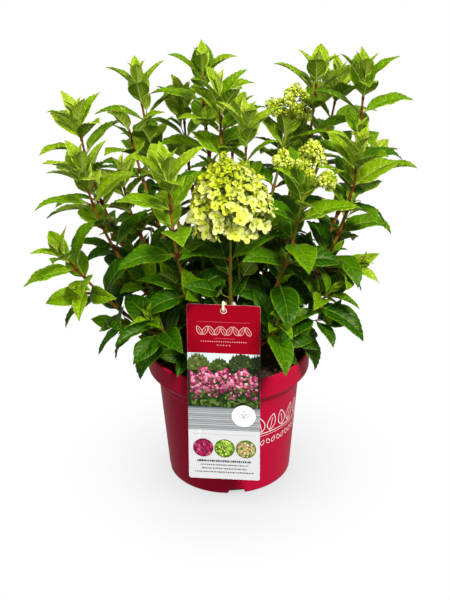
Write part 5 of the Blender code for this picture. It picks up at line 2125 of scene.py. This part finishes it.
def freshness_and_light(leaf, shoot, looks):
    """How young and bright a leaf is, from 0 for an old inner one to 1 at a tip, with painted shade that
    darkens leaves low down, under flower heads and high up.
    """
    fresh_and_lit = 1.0 - (leaf.number + shoot.age) / OLDEST_PAIR
    # Painted shade: darker tints for leaves low down, and for leaves below a flower head.
    fresh_and_lit -= max(LIT_HEIGHT - leaf.root.z, 0.0) * SHADE_RATE + SHADE_UNDER_HEADS[shoot.end]
    # Painted shade: darker tints high up.
    fresh_and_lit -= max(leaf.root.z - TOP_SHADE_HEIGHT, 0.0) * TOP_SHADE_RATE
    return min(max(fresh_and_lit + looks.uniform(-LOOSE_TINT, LOOSE_TINT), 0.0), 0.999)


def leaf_finishes():
    made = []
    for k, tint in enumerate(LEAF_TINTS):
        top = finish(f"leaf_top_{k}", tint, 0.42, **LEAF_SHEEN)
        mapping = add_grain(top, LEAF_GRAIN, 0.5, 0.0010, 2.0)
        shades = [tuple(min(c * share, 1.0) for c in tint) for share in LEAF_PATCHES]
        add_mottle(top, mapping, shades, LEAF_GRAIN * 0.8, (0.40, 0.60))
        made.append(top)
    made += finish_row("leaf_under", UNDER_TINTS, 0.6, **LEAF_SHEEN)
    made += finish_row("leaf_rib", RIB_TINTS, 0.45, **LEAF_SHEEN)
    made.append(finish("leaf_rib_under", UNDER_RIB_TINT, 0.5, **LEAF_SHEEN))
    return made + finish_row("leaf_stalk", STALK_TINTS, 0.45, **LEAF_SHEEN)


def leaf_slots(fresh_and_lit):
    """The tint of each kind of face on a leaf of this freshness and painted shade, in the order of the kinds.
    """
    unders = len(LEAF_TINTS)
    ribs = unders + len(UNDER_TINTS)
    rib_under = ribs + len(RIB_TINTS)
    top = int(fresh_and_lit * len(LEAF_TINTS))
    rib = ribs + int(fresh_and_lit * len(RIB_TINTS))
    vein = min(top + 2, unders - 1)
    edge = rib if fresh_and_lit > 0.5 else top + 2
    under = unders + int(fresh_and_lit * len(UNDER_TINTS))
    stalk = rib_under + 1 + (fresh_and_lit < 0.45)
    return top, rib, vein, edge, under, rib_under, rib_under, stalk


def make_leaves(grown, extra):
    """Fine leaves of all shoots, joined into pieces that keep under the most triangles."""
    shapes = {veins: LeafShape(veins) for _, veins in LEAF_VEINS}
    looks = random.Random(LOOKS_SEED)
    finishes = leaf_finishes()
    batches = [Batch("leaves_1")]
    nodes = [[]]
    in_front = [tree_of(*card_guard(*CARD_VIEW))]
    for plant in grown:
        if batches[-1].triangles > MOST_TRIANGLES:
            batches.append(Batch(f"leaves_{len(batches) + 1}"))
            nodes.append([])
        nodes[-1].append("foliage_" + plant.shoot.name)
        leaves = [leaf for _, found in plant.leaves for leaf in found]
        for leaf in leaves + extra[plant.shoot.name]:
            if touches(tree_of(*leaf_solid(leaf)), in_front):
                continue
            if plant.shoot.end == "buds" and leaf.number < 2:
                leaf = leaf._replace(length=leaf.length * SHORT_BY_BUDS)
            fresh_and_lit = freshness_and_light(leaf, plant.shoot, looks)
            shape = shapes[next(veins for least, veins in LEAF_VEINS if leaf.length > least)]
            young = min(max(1 - leaf.number / YOUNG_PAIRS, 0.0), 1.0)
            batches[-1].add(shape.points(leaf, looks, young), shape.shape, leaf_slots(fresh_and_lit))
    for batch, names in zip(batches, nodes):
        dress(batch.build(finishes), "foliage", *names)


# Stems

StemForm = namedtuple("StemForm", "sides spacing rough green")
BARE_FORM = StemForm(12, 0.003, 0.07, 0.0)
LEAFY_FORM = StemForm(10, 0.006, 0.025, 0.016)
FLOWER_FORM = StemForm(10, 0.006, 0.025, 0.05)
TWIG_FORM = StemForm(8, 0.005, 0.025, 0.02)
SMALL_FORM = StemForm(6, 0.004, 0.02, 1.0)


def stem_tube(batch, stem, start, end, leafy, form, looks, slots=STEM_SLOTS):
    """A fine stem whose joints swell where leaves spring from it, over its leafy length."""
    joints = [stem.length - below for below, _ in leaf_pairs(leafy)]
    places = list(np.arange(start, end, form.spacing)) + [end]
    near = [joint + shift for joint in joints for shift in (-JOINT_REACH, 0, JOINT_REACH)]
    places = sorted(places + [place for place in near if start < place < end])
    places = [a for a, b in zip(places, places[1:] + [math.inf]) if b - a > form.spacing * LEAST_STEP]
    points = [stem.smooth(place) for place in places]
    radii = []
    kinds = []
    for place in places:
        swell = min(sum(math.exp(-(((place - joint) / JOINT_REACH) ** 2)) for joint in joints), 1.0)
        radii.append(stem.radius(place) * (1 + JOINT_SWELL * swell))
        below = stem.length - place
        if below < form.green:
            kinds.append(STEM_GREEN)
        elif swell > JOINT_TINTED:
            kinds.append(STEM_JOINT)
        else:
            kinds.append(STEM_RED if below < form.green * RED_REACH else STEM_BROWN)
    count = len(places)
    bumps = [[looks.uniform(-1, 1) for _ in range(form.sides)] for _ in range(count)]
    relief = 1 + form.rough * np.array(bumps)
    if count > 2:
        relief[1:-1] = (relief[:-2] + relief[1:-1] * 2 + relief[2:]) / 4
    batch.add(sweep(points, radii, form.sides, relief), tube_shape(count, form.sides, kinds[:-1]), slots)


def make_stems(grown, side_lines):
    """The bare feet and the crown as bark, and the leafy stems above them as young twigs."""
    looks = random.Random(LOOKS_SEED + 1)
    bark = Batch("bark")
    twigs = Batch("twigs")
    for plant in grown:
        stem = plant.stem
        leafy = stem.length - BARE_LENGTH
        tuft = plant.shoot.end == "tuft"
        form, slots = (LEAFY_FORM, STEM_SLOTS) if tuft else (FLOWER_FORM, FLOWER_STEM_SLOTS)
        stem_tube(bark, stem, 0.0, BARE_LENGTH, 0.0, BARE_FORM, looks)
        stem_tube(twigs, stem, BARE_LENGTH - BARK_OVERLAP, stem.length, leafy, form, looks, slots)
        for line in plant.twigs:
            stem_tube(twigs, line, 0.0, line.length, line.length * TWIG_LEAFY, TWIG_FORM, looks)
        for line in side_lines[plant.shoot.name]:
            stem_tube(twigs, line, 0.0, line.length, 0.0, SMALL_FORM, looks)
    bark.add(*crown_points(), (0,))
    brown = finish("bark", BARK_BROWN, 0.8)
    mapping = add_grain(brown, 900.0, 0.5, 0.0006, stretch=(1, 1, 0.35))
    add_mottle(brown, mapping, BARK_PATCHES, 260.0)
    dress(bark.build([brown] * 4, 80), "bark", "root_crown", *["stem_" + plant.shoot.name for plant in grown])
    tints = finish_row("twig", STEM_TINTS, 0.5, Specular_IOR_Level=0.12)
    dress(twigs.build(tints, 80), "bark", *["foliage_" + plant.shoot.name for plant in grown])


def crown_points():
    """The crown as a knobbly knuckle whose foot flares onto the soil."""
    foot = soil_height(SOIL_DOME_RINGS[-1]) + GAP
    verts = []
    for ring in range(CROWN_RINGS):
        part = ring / (CROWN_RINGS - 1)
        rise = math.radians(CROWN_FROM + (CROWN_TO - CROWN_FROM) * part)
        height = CROWN_HEIGHT + CROWN_RADIUS * math.sin(rise)
        wide = CROWN_RADIUS * math.cos(rise)
        if ring < FLARE_RINGS:
            share = ring / FLARE_RINGS
            wide = CROWN_FLARE * (1 - share) ** 2 + wide * (1 - (1 - share) ** 2)
            height = foot + (height - foot) * share
        for turn in turns_of(CROWN_SIDES):
            bump = lump(polar(wide, turn, height), CROWN_LUMPS)
            verts.append(polar(max(wide - 0.001 + bump, 0.0005), turn, max(height + bump * 0.5, foot)))
    return np.array(verts), tube_shape(CROWN_RINGS, CROWN_SIDES)


# Flowers

def add_flower(batch, petals, centre, facing, size, part, tint, looks):
    """An open flower of four sepals round a small heart, with sepals greener at their foot."""
    ways = cross_ways(facing)
    twist = looks.uniform(0, math.pi / 2)
    pale = len(PETAL_TINTS) - 1
    width = SEPAL_WIDTH[0] + (SEPAL_WIDTH[1] - SEPAL_WIDTH[0]) * part
    for j in range(4):
        spread = swung(*ways, twist + math.pi / 2 * j + looks.uniform(-0.12, 0.12))
        lift = looks.uniform(*SEPAL_LIFT) + (INNER_LIFT if j % 2 else 0.0) + YOUNG_LIFT * part
        scale = size * (1.0 if j % 2 else 0.90) * looks.uniform(0.92, 1.08)
        points = petals.points(centre - facing * SEPAL_DEPTH, spread, facing, scale, lift, looks, width)
        shade = min(max(tint + looks.choice((-1, 0, 0, 0, 1)), 0), pale)
        batch.add(points, petals.shape, (shade, max(shade - 2, 0), max(shade - 3, 0)))


def dome_ways(aim, count, flattest, looks):
    """Ways that spread evenly over a dome round its aim."""
    across, beside = cross_ways(aim)
    start = looks.uniform(0, math.tau)
    ways = []
    for k in range(count):
        rise = 1 - (k + 0.5) / count * (1 - flattest)
        flat = math.sqrt(max(1 - rise * rise, 0.0))
        ways.append(aim * rise + swung(across, beside, start + GOLDEN * k) * flat)
    return ways


def stalk_to(batch, points, radii, sides, slot):
    """A thin stalk along points."""
    batch.add(sweep(points, radii, sides), tube_shape(len(points), sides), (slot,))


def make_bloom(plant):
    """The open head: branches that each hold a dome of flowers, small and lime at its tip, cream below."""
    looks = random.Random(LOOKS_SEED + 2)
    large_petals = PetalShape()
    small_petals = PetalShape(3, (-1.0, 0.0, 1.0))
    ball_verts, ball = ball_shape(4, 6)
    batch = Batch("blossom")
    base, way = plant.stem.at(plant.stem.length)
    across, beside = cross_ways(way)
    heart = len(PETAL_TINTS)
    stalk = heart + 1
    for k in range(BLOOM_BRANCHES + 1):
        part = 1 - (k / (BLOOM_BRANCHES + 0.5)) ** BRANCH_CROWDING
        petals = small_petals if part > SMALL_FLOWERS else large_petals
        out = swung(across, beside, GOLDEN * k)
        reach = BLOOM_REACH * float(np.interp(part, *BLOOM_OUTLINE)) * looks.uniform(*LOOSE_BRANCH)
        dome = min(max(reach * DOME_SHARE, LEAST_DOME), MOST_DOME)
        sag = SKIRT_SAG * max(1 - part / SKIRT_SHARE, 0.0) * min(1 + out.y, 1.0)
        heart_line = base + Vector((BLOOM_LEAN[0] + (BLOOM_LEAN[1] - BLOOM_LEAN[0]) * part, 0, 0))
        rise = (BLOOM_TOP - BLOOM_FOOT) * part
        middle = heart_line + way * (BLOOM_FOOT + rise - sag) + out * max(reach - dome, 0.0)
        aim = (out * (AIM_OUT - part) + way * (AIM_RISE * part - AIM_SAG)).normalized()
        foot = heart_line + way * (BLOOM_FOOT + rise * FORK_SHARE - FORK_BELOW)
        stalk_to(batch, [foot, middle], BRANCH_RADII, 6, stalk)
        count = round(FLOWERS_EACH[0] + (FLOWERS_EACH[1] - FLOWERS_EACH[0]) * part)
        for spread in dome_ways(aim, count, DOME_EDGE, looks):
            centre = middle + spread * dome * looks.uniform(*LOOSE_DOME)
            facing = spread * FACING[0] + out * FACING[1] + way * FACING[2]
            facing += across * looks.uniform(*LOOSE_FACING) + beside * looks.uniform(*LOOSE_FACING)
            facing = (facing + way * looks.uniform(*LOOSE_LOOK_UP)).normalized()
            size = SEPAL_LENGTH * float(np.interp(part, *SEPAL_SHRINK)) * looks.uniform(*LOOSE_SEPALS)
            # Painted light: paler tints on the right, where the key lamp falls.
            lit_side_paler = out.x * (0.2 + part * 1.4) * LIT_SIDE_PALER
            ripe = RIPE_AT_FOOT - part * RIPE_FALL + lit_side_paler + looks.uniform(*LOOSE_RIPE)
            tint = int(min(max(ripe, 0.0), 0.999) * len(PETAL_TINTS))
            add_flower(batch, petals, centre, facing, size, part, tint, looks)
            heart_spot = np.array(centre + facing * size * HEART_RISE)
            batch.add(ball_verts * size * HEART_SIZE + heart_spot, ball, (heart,))
            stalk_to(batch, [middle, centre - facing * HEART_CLEAR], FLOWER_STALK_RADII, 4, stalk)
        for _ in range(BEADS_EACH):
            spread = looks.choice(dome_ways(aim, 9, BEAD_EDGE, looks))
            centre = middle + spread * dome * looks.uniform(*BEAD_REACH)
            batch.add(ball_verts * looks.uniform(*BEAD_SIZE) + np.array(centre), ball, (heart,))
    tip = base + way * BLOOM_TOP * AXIS_SHARE + Vector((BLOOM_LEAN[1], 0, 0))
    axis = [base - way * AXIS_BELOW, base + (tip - base) * 0.5, tip]
    stalk_to(batch, axis, AXIS_RADII, 8, stalk)
    finishes = finish_row("sepal", PETAL_TINTS, 0.6, **PETAL_SHEEN)
    finishes += [finish("sepal_heart", HEART_GREEN, 0.5), finish("flower_stalk", FLOWER_STALK_SHADED_GREEN, 0.5)]
    dress(batch.build(finishes, 70), "foliage", "foliage_" + plant.shoot.name)


def make_buds(grown):
    """Young flower heads: loose groups of bud sprays, some buds just opening, on branched stalks."""
    looks = random.Random(LOOKS_SEED + 3)
    batch = Batch("young_flower_heads")
    templates = (*ball_shape(4, 6), PetalShape(2, (-1.0, 0.0, 1.0)))
    stalk = len(BUD_TINTS)
    names = []
    for plant in grown:
        if plant.shoot.end != "buds":
            continue
        names.append("foliage_" + plant.shoot.name)
        base, way = plant.stem.at(plant.stem.length)
        across, beside = cross_ways(way)
        for right, up, back, reach, count in HEAD_GROUPS[plant.shoot.name]:
            heart = base + across * right + way * up + beside * back
            foot = base + way * max(up - abs(right) - GROUP_BELOW, LOWEST_GROUP)
            fork = heart - (heart - foot).normalized() * reach * GROUP_FORK
            middle = (foot + fork) / 2 + way * GROUP_BOW
            stalk_to(batch, [foot, middle, fork], HEAD_RADII, 6, stalk)
            for spread in dome_ways((heart - foot).normalized() + way, count, GROUP_EDGE, looks):
                end = heart + spread.normalized() * reach * looks.uniform(*SPRAY_REACH)
                end += way * looks.uniform(*SPRAY_RISE)
                middle = (fork + end) / 2 + way * SPRAY_BOW
                stalk_to(batch, [fork, middle, end], SPRAY_RADII, 5, stalk)
                add_spray(batch, templates, end, (end - fork).normalized(), looks)
    finishes = finish_row("bud", BUD_TINTS, 0.6, **PETAL_SHEEN)
    finishes.append(finish("bud_stalk", BUD_STALK_LIT_GREEN, 0.5, **LEAF_SHEEN))
    dress(batch.build(finishes, 70), "foliage", *names)


def add_spray(batch, templates, end, way, looks):
    """A small dome of buds on fine stalks, some of them with four tips just opening."""
    ball_verts, ball, petals = templates
    stalk = len(BUD_TINTS)
    radius = looks.uniform(*SPRAY_RADIUS)
    for spread in dome_ways(way, BUDS_EACH, SPRAY_EDGE, looks):
        centre = end + spread * radius * looks.uniform(*BUD_REACH) - way * radius * SPRAY_SUNK
        size = looks.uniform(*BUD_SIZE)
        tint = looks.randrange(stalk)
        ways = cross_ways(spread)
        stretch = np.array([*ways, spread * BUD_STRETCH]) * size
        batch.add(ball_verts @ stretch + np.array(centre), ball, (tint,))
        stalk_to(batch, [end - way * radius * 0.5, centre], BUD_STALK_RADII, 4, stalk)
        if looks.random() < OPENING_BUDS:
            twist = looks.uniform(0, math.pi / 2)
            for j in range(4):
                out = swung(*ways, twist + math.pi / 2 * j)
                points = petals.points(centre, out, spread, size * OPENING_SIZE, OPENING_LIFT, looks)
                batch.add(points, petals.shape, (tint, max(tint - 1, 0), tint))


# Studio

def add_stage():
    """A pale floor and a far wall as bright as the surroundings, with a soft shade where the pot stands."""
    pale = finish("studio_floor", (0, 0, 0), 0.9, **STUDIO_GLOW)
    nodes = pale.node_tree.nodes
    links = pale.node_tree.links
    near = nodes.new("ShaderNodeAmbientOcclusion")
    near.samples = 16
    near.inputs["Distance"].default_value = CONTACT_REACH
    shade = nodes.new("ShaderNodeMapRange")
    shade.inputs["To Min"].default_value = CONTACT_SHADE
    links.new(near.outputs["AO"], shade.inputs["Value"])
    links.new(shade.outputs["Result"], nodes["Principled BSDF"].inputs["Emission Strength"])
    white = finish("studio_wall", (0, 0, 0), 0.9, **STUDIO_GLOW)
    size = STUDIO_REACH
    corners = [(-size, -size, 0), (size, -size, 0), (size, size, 0), (-size, size, 0)]
    floor = add_object("studio_floor", corners, [(0, 1, 2, 3)], [pale])
    corners += [(x, y, size) for x, y, _ in corners]
    faces = [(4, 5, 1, 0), (5, 6, 2, 1), (6, 7, 3, 2), (7, 4, 0, 3)]
    wall = add_object("studio_wall", corners, faces, [white])
    for made in (floor, wall):
        made.visible_diffuse = False
        made.visible_glossy = False
        made.visible_shadow = False
    world = bpy.data.worlds.new("studio")
    bpy.context.scene.world = world
    world.use_nodes = True
    background = world.node_tree.nodes["Background"]
    background.inputs["Color"].default_value = WHITE
    background.inputs["Strength"].default_value = SKY_STRENGTH


def add_lights():
    for name, spot, size, power in LIGHTS:
        light = bpy.data.lights.new(name, "AREA")
        light.shape = "DISK"
        light.size = size
        light.energy = power
        made = placed(name, light)
        made.location = spot
        aim = Vector(LIGHT_AIM) - Vector(spot)
        made.rotation_euler = aim.to_track_quat("-Z", "Y").to_euler()
        made.light_linking.receiver_collection = light_group(name)
        made.visible_glossy = name == "key"


def light_group(light):
    """What a light falls on: all but the floor, and for the fill light all but the pot too."""
    group = bpy.data.collections.new(light + "_group")
    for name in LEFT_DARK[: 3 if light == "fill" else 1]:
        group.objects.link(bpy.data.objects[name])
    for member in group.collection_objects:
        member.light_linking.link_state = "EXCLUDE"
    return group


def add_camera():
    """The photograph's view: a long lens that looks a little down on the pot."""
    rise = math.radians(CAMERA_RISE)
    roll = math.radians(CAMERA_ROLL)
    back = Vector((0, -math.cos(rise), math.sin(rise)))
    right = Vector((1, 0, 0))
    up = back.cross(right)
    across = right * math.cos(roll) + up * math.sin(roll)
    upward = up * math.cos(roll) - right * math.sin(roll)
    camera = bpy.data.cameras.new("camera")
    camera.sensor_fit = "VERTICAL"
    camera.sensor_height = SENSOR_HEIGHT
    camera.lens = SENSOR_HEIGHT * FOCAL_PIXELS / PHOTO_HEIGHT
    made = placed("camera", camera)
    place = Vector(CAMERA_AIM) + back * CAMERA_DISTANCE
    made.matrix_world = Matrix.Translation(place) @ Matrix((across, upward, back)).transposed().to_4x4()
    bpy.context.scene.camera = made
    bpy.context.scene.view_settings.view_transform = "Standard"


def main():
    add_camera()
    add_stage()
    make_pot()
    make_pot_print()
    add_lights()
    make_soil()
    make_card()
    make_card_print()

    grown, all_trees = grow_plant()
    first = len(all_trees) - 2 * len(grown)
    looks = random.Random(LOOKS_SEED + 6)
    extra = {}
    side_lines = {}
    side_trees = []
    for index, plant in enumerate(grown, first):
        others = all_trees[:index] + all_trees[index + 1 :] + side_trees
        small, lines = grow_side_shoots(plant, looks, others)
        if small:
            side_trees.append(tree_of(*joined([leaf_solid(leaf) for leaf in small])))
        extra[plant.shoot.name] = small + grow_tufts(plant, looks)
        side_lines[plant.shoot.name] = lines
    make_loop(grown[0].stem)
    make_leaves(grown, extra)
    make_stems(grown, side_lines)
    make_bloom(grown[0])
    make_buds(grown)


main()
